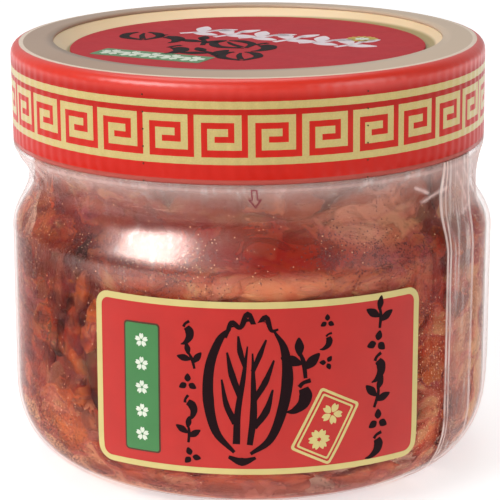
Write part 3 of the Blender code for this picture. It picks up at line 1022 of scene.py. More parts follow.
def filmFinish():
    finish = Finish("clearFilm", paint(214, 200, 204), 0.1)
    haze = finish.attribute("haze")
    streak = finish.noise(1.1 * mm, 3, stretch=(1.0, 1.0, 0.06)).step(0.5, 0.7)
    crumple = finish.noise(3.0 * mm, 3, 0.6, stretch=(1.0, 1.0, 0.7)).step(0.5, 0.78)
    milk = haze * (0.6 + 0.4 * crumple) + finish.attribute("seam") * (0.22 + 0.40 * streak)
    milk = milk + 0.22 * finish.grazing(12.0)
    # the welded overlap's edges and the fold beside it catch the light as thin lines
    turned = finish.angle()
    lines = 0.0
    for place, wide, strength in clearFilm["lines"]:
        away = (turned - math.radians(place)).math("ABSOLUTE")
        lines = lines + (1.0 - away.step(math.radians(wide * 0.4), math.radians(wide))) * strength
    lines = lines * finish.noise(9 * mm, 2, stretch=(0.3, 0.3, 1.0)).step(0.25, 0.5)
    plain = finish.mix(streak, paint(240, 204, 196), paint(250, 234, 228))
    finish.vary(Base_Color=finish.mix(finish.clamped(lines, 0.0, 1.0), plain, paint(240, 214, 204)))
    finish.vary(Roughness=0.26 + 0.2 * haze)
    dents = finish.noise(3.4 * mm, 3, 0.5, stretch=(1.0, 1.0, 0.6))
    finish.vary(Normal=finish.bump(dents, 0.15, 0.05 * mm))
    return finish.clearSkin(finish.clamped(milk + lines, 0.0, 0.9), finish.attribute("gloss"))


def creaseShare(turn, height):
    # 1 on the crumple creases, 0 away from them
    across = 0.83  # millimetres for each degree at the neck
    spot = np.stack([np.degrees(turn) * across, height / mm], 1)
    made = np.zeros(len(height))
    for x0, y0, x1, y1, strength in clearFilm["creases"]:
        start, reach = np.array([x0 * across, y0]), np.array([(x1 - x0) * across, y1 - y0])
        t = np.clip((spot - start) @ reach / (reach @ reach), 0, 1)
        away = np.linalg.norm(spot - start - t[:, None] * reach, axis=1)
        made = np.maximum(made, strength * np.exp(-(away / 0.33) ** 2))
    return made


def makeClearFilm():
    heel = [p for p in heelOutline(-(film["thickness"] + film["gap"]), 40) if p[0] > film["endRadius"]]
    # the rows lie closest at the neck
    heights = np.concatenate([
        np.linspace(lid["lowEdge"] + 0.1 * mm, film["waistLow"], 30),
        np.linspace(film["waistLow"], 46 * mm, 30)[1:], np.linspace(46 * mm, jar["heelHeight"], 16)[1:]])
    outline = [(float(filmRadiusAt(min(z, lid["lowEdge"]))), z) for z in heights]
    points, faces = closedRing(outline + heel[::-1][1:], film["columns"])
    points = np.array(points)
    turn, height = turnOf(points), points[:, 2]
    radius = np.hypot(points[:, 0], points[:, 1])
    neck = rampUp(height, 55 * mm, 64 * mm) * (1 - rampUp(height, 67.5 * mm, 69.4 * mm))
    seam = np.abs((turn - clearFilm["seamTurn"] + math.pi) % fullTurn - math.pi)
    onSeam = 1 - rampUp(seam, clearFilm["seamHalf"] * 0.92, clearFilm["seamHalf"] * 1.05)
    nearSeam = np.exp(-(seam / math.radians(22)) ** 2)
    pleat = sumOfWaves(turn, height, clearFilm["seed"], 9, 30 * mm) * clearFilm["pleats"]
    lift = pleat * (0.04 + neck * (0.7 + 0.7 * nearSeam))
    lift += clearFilm["seamLift"] * onSeam * (0.45 + 0.55 * rampUp(height, 46 * mm, 58 * mm))
    # beside the overlap the film bridges the neck as a small tent
    tent = np.exp(-((turn - clearFilm["tentTurn"]) / clearFilm["tentHalf"]) ** 4)
    up = np.clip((height - clearFilm["tentLow"]) / (lid["lowEdge"] - clearFilm["tentLow"]), 0, 1)
    bridge = film["foot"] + (lid["radius"] - film["foot"]) * up - radius
    lift = lift * (1 - 0.6 * tent) + 0.85 * tent * np.maximum(bridge, 0) * (height > clearFilm["tentLow"])
    # round the right side the film is slack
    slack = np.exp(-((turn - math.radians(95)) / math.radians(34)) ** 4)
    slack *= rampUp(height, 10 * mm, 24 * mm) * (1 - rampUp(height, 54 * mm, 60 * mm))
    lift = np.maximum(lift + clearFilm["slack"] * slack, -0.12 * mm)
    points[:, :2] *= (1 + lift / radius)[:, None]
    piece = meshPiece("clearFilm", seatNeck(points), faces, [filmFinish()])
    # where it is crinkled or stretched over the lid the film looks milky.
    # The thin pale ring along the fold is a painted highlight, and the crumple creases
    # are partly milky film and partly painted highlights.
    crinkled = np.exp(-((turn - math.radians(66)) / math.radians(12)) ** 4)
    crinkled *= rampUp(height, 57 * mm, 59 * mm) * (1 - rampUp(height, 67.5 * mm, 69.2 * mm))
    # painted highlight: a thin pale ring along the fold under the lid
    fold = np.exp(-((height - clearFilm["foldHeight"]) / (0.55 * mm)) ** 2)
    upperNeck = rampUp(height, 62.5 * mm, 66 * mm)
    top = rampUp(height, 65.0 * mm, 67.5 * mm)
    haze = 0.03 * neck + 0.12 * upperNeck + 0.16 * top + 0.34 * crinkled + 0.30 * fold
    giveNumbers(piece.data, "seam", onSeam * (0.5 + 0.25 * upperNeck))
    giveNumbers(piece.data, "haze", np.clip(haze + creaseShare(turn, height), 0, 1))
    # stretched over the shoulder and gathered at the neck, the film shines more than on the side
    shoulder = rampUp(height, 46 * mm, 51 * mm) * (1 - 0.7 * rampUp(height, 57 * mm, 61 * mm))
    towardsBox = np.exp(-((turn + math.radians(25)) / math.radians(18)) ** 2)
    giveNumbers(piece.data, "gloss", 0.006 + shoulder * (0.012 + 0.115 * towardsBox))
    thicken(piece, film["thickness"] * 0.5)
    print("clear film ready")
    return piece


# Dark pin holes of the tear lines, and the outline arrow between them

tear = {
    "turns": (math.radians(-24.0), math.radians(27.7)), "top": 86.5 * mm, "pitch": 3.4 * mm, "count": 6,
    "radius": 0.17 * mm,
}


def pinTree():
    given, add, close = newTree("pinHoles", [("Radius", "Float"), ("Ink", "Material")])
    dot = add("GeometryNodeMeshIcoSphere", {}, ("Radius", given["Radius"]), ("Subdivisions", 2)).outputs[0]
    copies = add("GeometryNodeInstanceOnPoints", {}, ("Points", given["Geometry"]), ("Instance", dot))
    real = add("GeometryNodeRealizeInstances", {}, ("Geometry", copies.outputs[0])).outputs[0]
    dressed = add("GeometryNodeSetMaterial", {}, ("Geometry", real), ("Material", given["Ink"]))
    return close(dressed.outputs[0])


def makeTearLines(prints):
    places = []
    for turn in tear["turns"]:
        for k in range(tear["count"]):
            height = tear["top"] - k * tear["pitch"]
            radius = lid["radius"] if height > lid["lowEdge"] else float(filmRadiusAt(height))
            places.append((radius * math.sin(turn), -radius * math.cos(turn), height))
    piece = meshPiece("pinHoles", seatNeck(places), [], [])
    return runTree(piece, pinTree(), {"Radius": tear["radius"], "Ink": prints["labelDark"]})


# turn and top on the film; line, width and length in mm
arrow = {"turn": math.radians(1.2), "top": 68.4 * mm, "line": 0.22, "width": 2.7, "length": 4.2}


def makeArrow(prints):
    wide, long, line = arrow["width"] / 2, arrow["length"], arrow["line"]
    shaft, barb = wide * 0.45, -long * 0.5
    shape = [(-shaft, 0), (shaft, 0), (shaft, barb), (wide, barb), (0, -long), (-wide, barb), (-shaft, barb)]
    barb -= line
    shaft -= line
    wide -= 2.3 * line
    tip = -long + 1.9 * line
    inner = [(-shaft, -line), (shaft, -line), (shaft, barb), (wide, barb), (0, tip), (-wide, barb)]
    inner.append((-shaft, barb))

    def bend(points):
        height = arrow["top"] + points[:, 1]
        turn = arrow["turn"] + points[:, 0] / film["waistRadius"]
        radius = filmRadiusAt(height) + 0.22 * mm + points[:, 2]
        return seatNeck(np.stack([radius * np.sin(turn), -radius * np.cos(turn), height], 1))

    return slabPiece("tearArrow", flatSlab([shape], [inner], 0.03 * mm, 0.7 * mm), prints["arrowRed"], bend)


# The jar: clear plastic, smooth, with a bead below the neck and a raised base

def makeJar():
    wall, neck, foot, rise = jar["wall"], jar["neckRadius"], jar["footInner"], jar["pushUp"]
    heelPoints, shoulderPoints = 48, 24
    outer = [(hub, rise), (14 * mm, rise * 0.93), (foot - 3.5 * mm, rise * 0.7)]
    outer += [(foot - 1.2 * mm, 0.5 * mm), (foot, 0)]
    outer += heelOutline(0, heelPoints) + shoulderOutline(0, neck, jar["shoulderHigh"], shoulderPoints)
    turn = np.linspace(0, math.pi, 8)
    middle = (jar["beadLow"] + jar["beadHigh"]) / 2
    half = (jar["beadHigh"] - jar["beadLow"]) / 2
    swell = jar["beadRadius"] - neck
    outer += [(neck + swell * math.sin(a), middle - half * math.cos(a)) for a in turn]
    outer += [(neck, 72 * mm), (neck, jar["mouthHeight"])]
    inner = [(neck - wall, jar["mouthHeight"])]
    inner += shoulderOutline(wall, neck - wall, jar["shoulderHigh"], shoulderPoints)[::-1]
    inner += heelOutline(wall, heelPoints)[::-1]
    inner += [(foot, wall), (foot - 3 * mm, rise * 0.7 + wall), (hub, rise + wall)]
    points, faces = closedRing(outer + inner, jar["columns"])
    finish = Finish("clearPlastic", paint(206, 158, 146), 0.16, IOR=1.5)
    cloud = finish.noise(6 * mm, 2)
    # painted light and shade: edge on, the wall is painted paler on the lit left side and darker on the right
    across = finish.axis("X").step(-20 * mm, 40 * mm)
    edge = finish.mix(across, paint(206, 156, 142), paint(150, 128, 112))
    finish.vary(Base_Color=finish.mix(cloud.step(0.4, 0.6) * 0.4, edge, paint(180, 120, 106)))
    # edge on, the wall takes the colour of what it holds
    haze = 0.9 * finish.grazing(10.0) + 0.005 * cloud
    finish.vary(Normal=finish.bump(finish.noise(18 * mm, 2), 0.12, 0.2 * mm))
    # the bead under the neck catches the light as a thin streak
    height = finish.axis("Z")
    bead = height.step(60.4 * mm, 61.2 * mm) * (1.0 - height.step(62.6 * mm, 63.4 * mm))
    piece = meshPiece("jarShell", points, faces, [finish.clearSkin(haze, 0.006 + 0.06 * bead)])
    closeEnds(piece.data)
    print("jar ready")
    return piece


# The kimchi: a packed core, cabbage stems and leaves pressed to the wall, green strips, chilli and juice

kimchi = {
    "level": 68.4 * mm, "juiceIn": -0.72 * mm, "coreIn": 4.0 * mm,
    # how far inside the wall's inner face the loose pieces are pressed, each at its own depth
    "pressDepth": (-0.08 * mm, 0.60 * mm),
    # the juice hides what lies this deep, from a little to fully
    "juiceDepth": (1.4 * mm, 4.6 * mm),
}
# Ranges of length, width, thickness and depth in from the wall are in mm. Each placed piece has its turn
# in degrees, height, length and width in mm, tilt in degrees and shade, which is its place on the stops.
heap = {
    "chilliPaste": {
        "count": 12, "seed": 21, "long": (12, 26), "wide": (4, 8), "thick": (0.8, 1.4),
        "depth": (-0.6, 0.5), "curl": 0.2, "pillow": 0.9, "rows": 20, "columns": 12, "front": 0.02 * mm,
        "placed": (
            (3, 53.5, 31, 6.6, 0, 0.45), (-14, 51.0, 15, 3.2, -6, 0.95), (12, 54.4, 12, 3.6, 4, 0.72),
            (14.1, 60.6, 12, 2.4, 8, 0.02), (4.1, 60.9, 10, 2.6, -14, 0.08), (51, 52.2, 4.5, 4, 0, 0.75),
            (57, 47, 18, 4, 88, 0.6), (73, 45, 26, 6, 88, 0.7), (-20, 61.2, 12, 1.8, -14, 0.1)),
    },
    "cabbageStems": {
        "count": 46, "seed": 17, "long": (13, 24), "wide": (7, 12), "thick": (2.0, 3.0),
        "depth": (-0.9, 0.5), "curl": 0.3, "pillow": 1.5, "rows": 22, "columns": 16, "front": 0.10 * mm,
        "placed": (
            (10.5, 63.9, 14, 6.5, 6, 0.48), (34, 63.0, 24, 5.5, 3, 0.36), (-8, 48.4, 11, 6, -10, 0.42),
            (28.5, 57.0, 36, 6.0, 2, 0.30), (9, 48.4, 20, 6.6, 0, 0.62), (-21, 47.8, 18, 6.5, -4, 0.26),
            (33, 47.4, 15, 6, 4, 0.84), (-45, 61.2, 9, 4.4, 8, 0.36), (-51, 16, 19, 9, -35, 1.0),
            (-62, 10, 16, 7, -60, 0.9), (-43, 10.5, 12, 6, -40, 0.95), (0, 7.6, 26, 5, 0, 0.40),
            (-28, 6.2, 20, 5, 5, 0.5), (31, 6.2, 18, 5, -4, 0.45), (62, 30, 22, 6, 88, 0.52),
            (64, 14, 16, 7, 80, 0.6), (-41, 37.5, 13, 5, 72, 1.0), (-47, 25.5, 13, 6, -70, 0.95),
            (-30, 63.5, 16, 6, -4, 0.2), (-60, 64, 10, 6, 10, 0.45), (47, 63, 10, 6, 0, 0.3)),
    },
    "cabbageLeaves": {
        "count": 58, "seed": 18, "long": (18, 32), "wide": (10, 18), "thick": (0.5, 0.9),
        "depth": (-0.8, 0.9), "curl": 0.7, "pillow": 1.2, "rows": 28, "columns": 22, "front": 0.05 * mm,
        "placed": (
            (36, 52.6, 23, 6, 2, 0.78), (29.8, 60.3, 20, 2.6, 4, 0.36), (-11, 58.6, 20, 7, -2, 0.20),
            (-48, 55, 20, 9, 20, 0.07), (-62, 53, 11, 10, 60, 0.80), (-54.4, 59.2, 7, 5, 0, 0.10),
            (-51.3, 44.5, 13, 5, 80, 0.04), (-43.7, 43.8, 9, 3.4, 70, 1.0), (-57.4, 33, 20, 6, 84, 0.14),
            (-48.5, 33, 14, 5, 80, 0.10), (-49, 21, 13, 6, 60, 0.18), (-30.3, 55.5, 14, 7, -30, 0.82),
            (-33, 51.0, 16, 4, -8, 0.30), (-73, 36, 26, 6, 86, 0.80), (-79, 20, 20, 6, 86, 0.52),
            (42.6, 42.0, 12, 5, 80, 0.82), (46.6, 30, 16, 5, 84, 0.22), (50, 15, 18, 8, 80, 0.44),
            (82, 34, 30, 8, 88, 0.45), (49.8, 46.6, 12, 2.2, 88, 0.20), (47.9, 53.8, 3.4, 3.2, 0, 0.0)),
    },
    "backLeaves": {
        "count": 90, "seed": 20, "long": (14, 28), "wide": (10, 18), "thick": (0.6, 1.2),
        "depth": (1.2, 3.6), "curl": 0.9, "pillow": 2.0, "rows": 18, "columns": 12, "front": 0.0,
        "placed": (),
    },
    "greenStrips": {
        "count": 20, "seed": 19, "long": (4, 10), "wide": (1.2, 2.8), "thick": (0.4, 0.8),
        "depth": (-0.3, 0.4), "curl": 0.3, "pillow": 0.5, "rows": 14, "columns": 6, "front": 0.0,
        "placed": (
            (-43.4, 53.0, 6.5, 2.6, 62, 0.1), (23.6, 53.2, 4.2, 3.0, 20, 0.62), (-57, 33.5, 6, 2.2, 75, 0.1),
            (-54, 29.8, 5, 1.7, -25, 0.2), (-7.5, 51.8, 4.5, 1.2, 30, 0.3), (-5, 60.2, 4, 1.5, 30, 0.0)),
    },
}
# Colours in 0..255: the stops that a piece's shade runs along, the juice that soaks in, and a leaf's rib
foods = {
    "cabbageStem": {
        "juice": (206, 76, 36), "grain": 2.2 * mm, "soft": 0.2, "stops": (
            (0.0, 164, 46, 26), (0.2, 204, 82, 46), (0.4, 222, 118, 80), (0.55, 234, 162, 118),
            (0.7, 242, 200, 156), (0.85, 206, 112, 112), (1.0, 228, 134, 66)),
    },
    "cabbageLeaf": {
        "juice": (172, 40, 20), "grain": 1.4 * mm, "soft": 0.1, "rib": (224, 150, 112), "stops": (
            (0.0, 82, 26, 34), (0.14, 124, 40, 36), (0.28, 170, 44, 24), (0.42, 204, 70, 34),
            (0.55, 214, 114, 84), (0.68, 224, 160, 124), (0.8, 200, 100, 102), (1.0, 216, 122, 56)),
    },
    "greenStrip": {
        "juice": (70, 40, 34), "grain": 1.0 * mm, "stops": (
            (0.0, 36, 34, 40), (0.4, 62, 56, 50), (0.65, 124, 112, 118), (1.0, 66, 48, 58)),
    },
    "packedCore": {
        "juice": (110, 28, 16), "grain": 2.4 * mm, "stops": ((0.0, 110, 32, 18), (1.0, 150, 50, 26)),
    },
    "chilliPaste": {
        "juice": (196, 44, 12), "grain": 1.6 * mm, "stops": (
            (0.0, 84, 22, 16), (0.25, 136, 30, 16), (0.5, 194, 36, 10), (0.75, 220, 70, 22),
            (1.0, 200, 92, 42)),
    },
}


def pressedPieces(name, finish):
    # thin wavy slabs that lie flat on the inside of the wall where they touch it, their edges turned inwards
    recipe = heap[name]
    rng = np.random.default_rng(recipe["seed"])
    rows, columns = recipe["rows"], recipe["columns"]
    low, high = 2.0 * mm, kimchi["level"]
    # two steps that never repeat spread the loose pieces evenly round the jar and up it
    aroundStep, upStep, pressStep = (math.sqrt(5) - 1) / 2, 0.7548776662, 0.381966
    nearest, deepest = kimchi["pressDepth"]
    u, v = np.meshgrid(np.linspace(-1, 1, rows), np.linspace(-1, 1, columns), indexing="ij")
    size = rows * columns

    def phase():
        return rng.uniform(0, 6)

    allPoints, allFaces, shade, along, across = [], [], [], [], []
    for k in range(recipe["count"] + len(recipe["placed"])):
        sizes = [rng.uniform(*recipe[key]) * mm for key in ("long", "wide", "thick", "depth")]
        long, wide, thick, depth = sizes
        turn = (k * aroundStep % 1) * fullTurn + rng.uniform(-0.05, 0.05)
        middle = low + (high - low) * ((k * upStep + rng.uniform(0, 0.05)) % 1)
        tilt, tone = rng.normal(0.0, 0.8), rng.uniform(0, 1)
        # each piece has its own press depth, so that no two lie in the same surface
        inset = jar["wall"] + nearest + (deepest - nearest) * (k * pressStep % 1)
        if k >= recipe["count"]:
            order = k - recipe["count"]
            turn, middle, long, wide, tilt, tone = recipe["placed"][order]
            turn, tilt, depth = math.radians(turn), math.radians(tilt), -0.9 * mm
            middle, long, wide = middle * mm, long * mm, wide * mm
            inset = jar["wall"] - 0.30 * mm + recipe["front"] + 0.003 * mm * (len(recipe["placed"]) - order)
        edge = 1 + 0.14 * np.sin(3 * u + phase()) + 0.08 * np.sin(8 * u + phase())
        edge += 0.05 * np.sin(17 * u + phase())
        narrow = np.sqrt(np.clip(1 - np.abs(u) ** 2.6, 0.02, 1)) * edge
        run = u * long / 2 * (1 + 0.07 * np.sin(2 * v + phase()) + 0.04 * np.sin(9 * v + phase()))
        breadth = v * wide / 2 * narrow + 0.12 * wide * np.sin(1.6 * u + phase())
        side = run * math.cos(tilt) - breadth * math.sin(tilt)
        height = middle + run * math.sin(tilt) + breadth * math.cos(tilt)
        start = rng.uniform(0, 6, 3)
        ripple = 0.5 * np.sin(2.2 * u + start[0]) + 0.35 * np.sin(4 * v + start[1]) + 0.8
        ripple += 0.3 * np.sin(7 * u + 4 * v + start[2]) * np.abs(v)
        lean = rng.uniform(-0.12, 0.12) * side + rng.uniform(-0.12, 0.12) * (height - middle)
        turnedIn = recipe["pillow"] * mm * 0.7 * (np.abs(v) ** 9 + np.abs(u) ** 11)
        loose = depth + recipe["curl"] * mm * ripple + lean
        inward = (loose + np.sqrt(loose ** 2 + (0.15 * mm) ** 2)) / 2 + turnedIn
        height = np.clip(height, 1.4 * mm + inward, kimchi["level"] + 1 * mm)
        body = thick * (1 - 0.55 * v ** 2) * (1 - 0.5 * u ** 4)
        angle = turn + side / jar["wallRadius"]
        for layer in (0.0, body):
            radius = wallRadiusAt(height, inset) - inward - layer
            layerPoints = np.stack([radius * np.sin(angle), -radius * np.cos(angle), height], -1)
            allPoints.append(layerPoints.reshape(-1, 3))
        base = 2 * size * k
        for i in range(rows - 1):
            for j in range(columns - 1):
                a = base + i * columns + j
                allFaces.append((a, a + columns, a + columns + 1, a + 1))
                allFaces.append((size + a, size + a + 1, size + a + columns + 1, size + a + columns))
        grid = np.arange(size).reshape(rows, columns)
        border = [*grid[:, 0], *grid[-1, 1:], *grid[-2::-1, -1], *grid[0, -2:0:-1]]
        for here, there in zip(border, border[1:] + border[:1]):
            allFaces.append((base + here, base + size + here, base + size + there, base + there))
        shade += [tone] * (2 * size)
        along += list(u.ravel() * long / 2 / mm) * 2
        across += list(v.ravel() * wide / 2 / mm) * 2
    piece = meshPiece(name, np.concatenate(allPoints), allFaces, [finish])
    for key, values in (("shade", shade), ("along", along), ("across", across)):
        giveNumbers(piece.data, key, values)
    giveZones(piece)
    return piece


def chilliGrains(finish, tone):
    # ground chilli and seed grains that cling in clusters
    clusters = finish.noise(7 * mm, 3, 0.6).step(0.48, 0.62)
    crowd = finish.clamped(clusters * 0.7 + finish.attribute("dark") * 0.5, 0.0, 1.0)
    darkSpots = finish.noise(0.5 * mm, 2, 0.6).step(0.60, 0.66)
    paleSpots = finish.noise(0.45 * mm, 1, 0.5, stretch=(1.1, 0.9, 1.0)).step(0.68, 0.74)
    tone = finish.mix(darkSpots * (crowd * 0.8 + 0.1) * 0.8, tone, paint(96, 18, 16))
    return finish.mix(paleSpots * (crowd * 0.5 + 0.2) * 0.6, tone, paint(240, 190, 150))


# Zones where the contents' colours change. Each zone has its turn in degrees, its height in mm, its spread
# in degrees and in mm, and its strength. Ground chilli gathers in the dark zones and pale seeds in the seed
# zones. The first five pale zones, at the right shoulder and the neck, are painted light: they lighten the
# contents where the lid shades them. The other pale zones lighten the contents.
packing = {
    "dim": ((-34, 60, 10, 3, 0.3), (8, 57, 14, 2.0, 0.25), (-58, 37, 22, 14, 0.62), (-52, 50, 16, 5, 1.0),
            (2, 4, 50, 4, 0.3), (150, 30, 60, 20, 0.4)),
    "pale": ((31, 62.5, 20, 3.2, 1.2), (33, 57, 12, 2.4, 0.7), (14, 66, 26, 3, 0.6), (-40, 66, 16, 3, 0.3),
             (0, 67, 60, 3, 0.3), (4, 5, 60, 4, 0.35), (-48, 16, 16, 6, 0.35), (9, 48.6, 20, 2.2, 0.8)),
    "red": ((9, 54.0, 25, 3.4, 1.5), (-4, 59.5, 26, 3.0, 1.1), (24, 60.5, 8, 1.5, 0.5), (50, 45, 3, 8, 0.8),
            (-58, 47, 5, 6, 0.5), (74, 45, 8, 14, 0.6)),
    "mauve": ((-44, 60, 14, 4, 0.8), (-30, 52.5, 10, 3, 0.5), (36, 52.6, 12, 2.6, 0.8), (-74, 34, 7, 18, 0.6),
              (45, 44, 3.5, 6, 0.7), (-40, 30, 6, 5, 0.6), (-36, 12, 16, 5, 0.4), (2, 5, 50, 4, 1.2),
              (-62, 22, 6, 8, 0.5)),
    "dark": ((-70, 50, 10, 8, 0.9), (-44, 53, 10, 4, 0.5), (-24, 52.5, 14, 3.5, 1.4), (22, 54, 8, 3, 1.0),
             (36, 52.5, 12, 3.5, 1.2), (46, 44, 4, 10, 0.8), (-62, 9, 16, 8, 1.8), (-70, 30, 9, 12, 1.5),
             (-30, 4, 20, 3, 0.9), (30, 4, 30, 3, 0.4), (150, 50, 50, 6, 0.8)),
    "seeds": ((-24, 53, 14, 5, 0.8), (-66, 50, 12, 12, 0.5), (76, 38, 12, 20, 1.6), (50, 28, 8, 12, 1.2),
              (48, 10, 14, 7, 1.0), (20, 55, 10, 4, 0.15), (-58, 12, 16, 8, 0.5), (160, 40, 40, 16, 0.5)),
}


def gathered(points, key):
    # how strongly the zones of one kind reach each point
    points = np.asarray(points, float)
    turn, up = np.degrees(turnOf(points)), points[:, 2] / mm
    total = np.zeros(len(points))
    for middle, height, wide, tall, weight in packing[key]:
        total += weight * np.exp(-((turn - middle) / wide) ** 2 - ((up - height) / tall) ** 2)
    return total


def giveZones(piece):
    points = pointsOf(piece.data)
    for key in ("dim", "pale", "red", "mauve", "dark"):
        giveNumbers(piece.data, key, np.clip(gathered(points, key), 0, 1.2))


def localTone(finish, tone):
    # the zones' colours over a piece's; the pale colour is partly painted light
    red = finish.clamped(finish.attribute("red") * 0.85, 0.0, 0.9)
    tone = finish.mix(red, tone, paint(160, 20, 4))
    tone = finish.mix(finish.attribute("mauve") * 0.6, tone, paint(184, 96, 106))
    tone = finish.mix(finish.attribute("dim"), tone, finish.mix(1.0, tone, (0.52, 0.39, 0.34), "MULTIPLY"))
    # painted light in part: the pale zones at the right shoulder and the neck lighten the contents the lid
    # shades
    return finish.mix(finish.attribute("pale") * 0.75, tone, paint(250, 170, 138))


def foodFinish(name):
    food = foods[name]
    juice = paint(*food["juice"])
    finish = Finish(name, paint(*food["stops"][0][1:]), 0.4, Specular_IOR_Level=0.15,
                    Subsurface_Weight=food.get("soft", 0.0), Subsurface_Scale=2 * mm)
    shade = finish.attribute("shade")
    cell = finish.patches(5.5 * mm, (0.7, 0.7, 1.25), 7 * mm)
    cloud = finish.noise(3.2 * mm, 4, 0.6).step(0.32, 0.68)
    tone = finish.ramp(shade * 0.9 + (cell - 0.5) * 0.34 + (cloud - 0.5) * 0.16 + 0.05, food["stops"])
    along, across = finish.attribute("along"), finish.attribute("across")
    own = finish.node("ShaderNodeCombineXYZ", None, [along * 0.10, across * 0.55, shade * 30.0])
    fibre = finish.noise(1.0, 4, 0.6, place=own)
    tone = finish.mix(fibre.step(0.52, 0.70) * 0.28, tone, paint(236, 176, 140))
    tone = finish.mix((1.0 - fibre.step(0.32, 0.46)) * 0.35, tone, juice)
    if "rib" in food:
        # the pale rib down a leaf's middle, and its side veins
        wobble = finish.noise(3 * mm, 2)
        beside = across.math("ABSOLUTE")
        rib = 1.0 - (beside + wobble * 2.0 - 1.0 + along * 0.05).step(0.5, 1.6)
        veins = (beside * 1.4 + along * 1.1 + wobble * 5.0).math("SINE").step(0.80, 0.99)
        tone = finish.mix(finish.clamped(rib * 0.4 + veins * 0.25, 0.0, 1.0), tone, paint(*food["rib"]))
    stain = finish.noise(5 * mm, 4, 0.6).step(0.52, 0.64)
    tone = localTone(finish, chilliGrains(finish, finish.mix(stain * 0.45, tone, juice)))
    inside = (jar["wallRadius"] - jar["wall"]) - finish.fromAxis()
    finish.vary(Base_Color=finish.mix(inside.step(*kimchi["juiceDepth"]) * 0.8, tone, paint(136, 50, 28)))
    finish.vary(Normal=finish.bump(finish.noise(food["grain"], 3, 0.6) + fibre * 0.3, 0.4, 0.25 * mm))
    finish.vary(Roughness=0.3 + 0.2 * finish.noise(2 * mm))
    return finish.material


def makeCore(finish):
    # what lies behind the pieces that show
    heights = np.linspace(4.6 * mm, kimchi["level"] - 1.5 * mm, 60)
    outline = [(float(wallRadiusAt(z, jar["wall"] + kimchi["coreIn"])), z) for z in heights]
    points, faces = closedRing(outline[::-1], 160, capStart=True, capEnd=True)
    points = np.array(points)
    points[:, :2] *= (1 + 0.02 * sumOfWaves(turnOf(points), points[:, 2], 3, 10, 24 * mm))[:, None]
    core = meshPiece("packedCore", points, faces, [finish])
    giveNumbers(core.data, "shade", np.full(len(points), 0.5))
    giveZones(core)
    return core


def makeKimchi():
    finishes = {name: foodFinish(name) for name in foods}
    made = [pressedPieces(name, finishes[food]) for name, food in (
        ("chilliPaste", "chilliPaste"), ("cabbageStems", "cabbageStem"), ("cabbageLeaves", "cabbageLeaf"),
        ("backLeaves", "cabbageLeaf"), ("greenStrips", "greenStrip"))]
    made.append(makeCore(finishes["packedCore"]))
    print("kimchi pieces ready")
    return made


# Chilli flakes and seeds scattered in the juice just inside the wall: a density for each square metre,
# radii, and how far in from the wall's inner face

scatters = {
    "chilliFlakes": {"in": -0.78 * mm, "zones": "dark", "least": 0.10, "Density": 8e6, "Smallest": 0.08 * mm,
                     "Largest": 0.25 * mm, "Flatness": 0.4, "Seed": 3,
                     "finish": "darkChilli", "colours": ((46, 14, 20), (124, 26, 22)), "patch": 1.2 * mm},
    "chilliSeeds": {"in": -0.80 * mm, "zones": "seeds", "least": 0.05, "Density": 2e6, "Smallest": 0.08 * mm,
                    "Largest": 0.22 * mm, "Flatness": 0.4, "Seed": 8,
                    "finish": "paleSeed", "colours": ((236, 160, 110), (244, 214, 176)), "patch": 1.5 * mm},
}


def scatterTree():
    sizes = [(name, "Float") for name in ("Density", "Smallest", "Largest", "Flatness")]
    given, add, close = newTree("scatterFlakes", sizes + [("Seed", "Int"), ("Flake", "Material")])

    def times(first, second):
        return add("ShaderNodeMath", {"operation": "MULTIPLY"}, (0, first), (1, second)).outputs[0]

    def chance(low, high):
        links = ((2, low), (3, high), ("Seed", given["Seed"]))
        return add("FunctionNodeRandomValue", {"data_type": "FLOAT"}, *links).outputs[1]

    crowd = add("GeometryNodeInputNamedAttribute", {"data_type": "FLOAT"}, ("Name", "crowd")).outputs[0]
    spots = add("GeometryNodeDistributePointsOnFaces", {}, ("Mesh", given["Geometry"]),
                ("Density", times(given["Density"], crowd)), ("Seed", given["Seed"])).outputs
    grain = add("GeometryNodeMeshUVSphere", {}, ("Radius", 1.0), ("Segments", 4), ("Rings", 2)).outputs[0]
    size = chance(given["Smallest"], given["Largest"])
    links = (("X", size), ("Y", times(size, 0.7)), ("Z", times(size, given["Flatness"])))
    scale = add("ShaderNodeCombineXYZ", {}, *links).outputs[0]
    spin = add("ShaderNodeCombineXYZ", {}, ("Z", chance(0.0, fullTurn))).outputs[0]
    copies = add("GeometryNodeInstanceOnPoints", {}, ("Points", spots["Points"]), ("Instance", grain),
                 ("Rotation", spots["Rotation"]), ("Scale", scale)).outputs[0]
    turned = add("GeometryNodeRotateInstances", {}, ("Instances", copies), ("Rotation", spin)).outputs[0]
    real = add("GeometryNodeRealizeInstances", {}, ("Geometry", turned)).outputs[0]
    dressed = add("GeometryNodeSetMaterial", {}, ("Geometry", real), ("Material", given["Flake"]))
    return close(dressed.outputs[0])


def makeFlakes():
    tree = scatterTree()
    made = []
    for name, scatter in scatters.items():
        first, second = (paint(*colour) for colour in scatter["colours"])
        finish = Finish(scatter["finish"], first, 0.35)
        finish.vary(Base_Color=finish.mix(finish.noise(scatter["patch"]), first, second))
        heights = np.linspace(3 * mm, kimchi["level"], 60)
        outline = [(float(wallRadiusAt(z, jar["wall"] + scatter["in"])), z) for z in heights][::-1]
        points, faces = closedRing(outline, 160)
        piece = meshPiece(name, points, faces, [])
        points = np.array(points)
        patch = rampUp(sumOfWaves(turnOf(points), points[:, 2], 11, 12, 12 * mm), -0.9, 0.9)
        giveNumbers(piece.data, "crowd", (gathered(points, scatter["zones"]) + scatter["least"]) * patch)
        made.append(runTree(piece, tree, {**scatter, "Flake": finish.material}))
    print("chilli flakes and seeds ready")
    return made


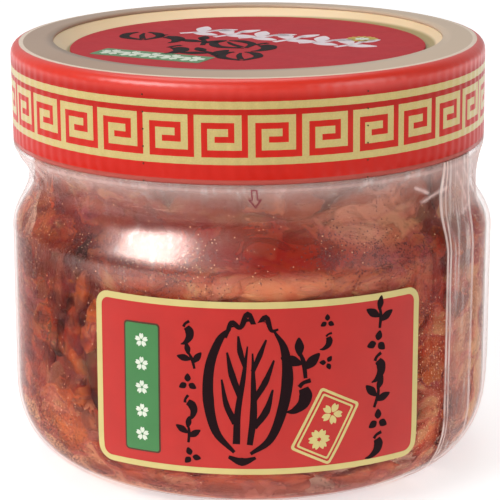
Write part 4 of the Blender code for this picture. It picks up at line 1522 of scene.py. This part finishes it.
def makeBrine():
    # the juice and small leaf scraps round the pieces, as one body that reaches just into the jar's wall
    inset = jar["wall"] + kimchi["juiceIn"]
    heights = np.linspace(inset + 0.2 * mm, kimchi["level"] + 0.3 * mm, 90)
    outline = [(float(wallRadiusAt(z, inset)), z) for z in heights][::-1]
    points, faces = closedRing(outline, 192, capStart=True, capEnd=True)
    finish = Finish("brine", paint(176, 60, 34), 0.5, Specular_IOR_Level=0.05)
    cell = finish.patches(9 * mm, (0.6, 0.6, 1.3), 12 * mm)
    cloud = finish.noise(8 * mm, 3, 0.55, stretch=(0.8, 0.8, 1.5), distortion=1.0)
    patch = finish.noise(8 * mm, 3, 0.6, stretch=(0.8, 0.8, 1.3), distortion=0.9)
    tone = finish.ramp(cell * 1.0 + cloud * 1.35 - 0.675, (
        (0.12, 84, 30, 42), (0.25, 132, 44, 30), (0.36, 196, 72, 24), (0.47, 206, 118, 66),
        (0.56, 172, 74, 84), (0.66, 150, 56, 44), (0.76, 216, 116, 96), (0.90, 232, 172, 122)))
    tone = finish.mix(patch.step(0.5, 0.62) * 0.2, tone, paint(206, 92, 46))
    thread = finish.noise(1.8 * mm, 4, 0.65, stretch=(0.8, 0.8, 2.0), distortion=0.6)
    tone = finish.mix(thread.step(0.54, 0.70) * 0.2, tone, paint(232, 168, 130))
    tone = finish.mix((1.0 - thread.step(0.30, 0.44)) * 0.2, tone, paint(112, 34, 30))
    crowd = finish.clamped(finish.attribute("dark"), 0.0, 0.9)
    specks = finish.noise(0.55 * mm, 2, 0.6).step(0.61, 0.66) * crowd
    finish.vary(Base_Color=finish.mix(specks, localTone(finish, tone), paint(64, 16, 20)))
    # looking along the wall there is more juice to see through
    share = 0.16 + 0.44 * patch.step(0.42, 0.62) + 0.25 * finish.attribute("red")
    share = finish.clamped(share + 1.2 * finish.grazing(4.0) + 0.7 * specks, 0.05, 0.97)
    piece = meshPiece("brine", points, faces, [finish.seeThrough(share, (1.0, 0.82, 0.70))])
    giveZones(piece)
    print("brine ready")
    return piece


makeStudio()
wrapRound = wrapTree()
prints = printFinishes()
sleeve = [makeBand(wrapRound), makeClearFilm(), *makeLabel(prints), makeTearLines(prints), makeArrow(prints)]

for node, slot, made in (
    ("sleeve", "printed_film", sleeve), ("lid", "lid_plastic", [makeLid(wrapRound)]),
    ("lid_label", "printed_card", makeDisc(prints)), ("jar", "clear_plastic", [makeJar()]),
    ("kimchi", "kimchi", [*makeKimchi(), *makeFlakes(), makeBrine()]),
):
    for piece in made:
        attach(piece, "root")
        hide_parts(node)
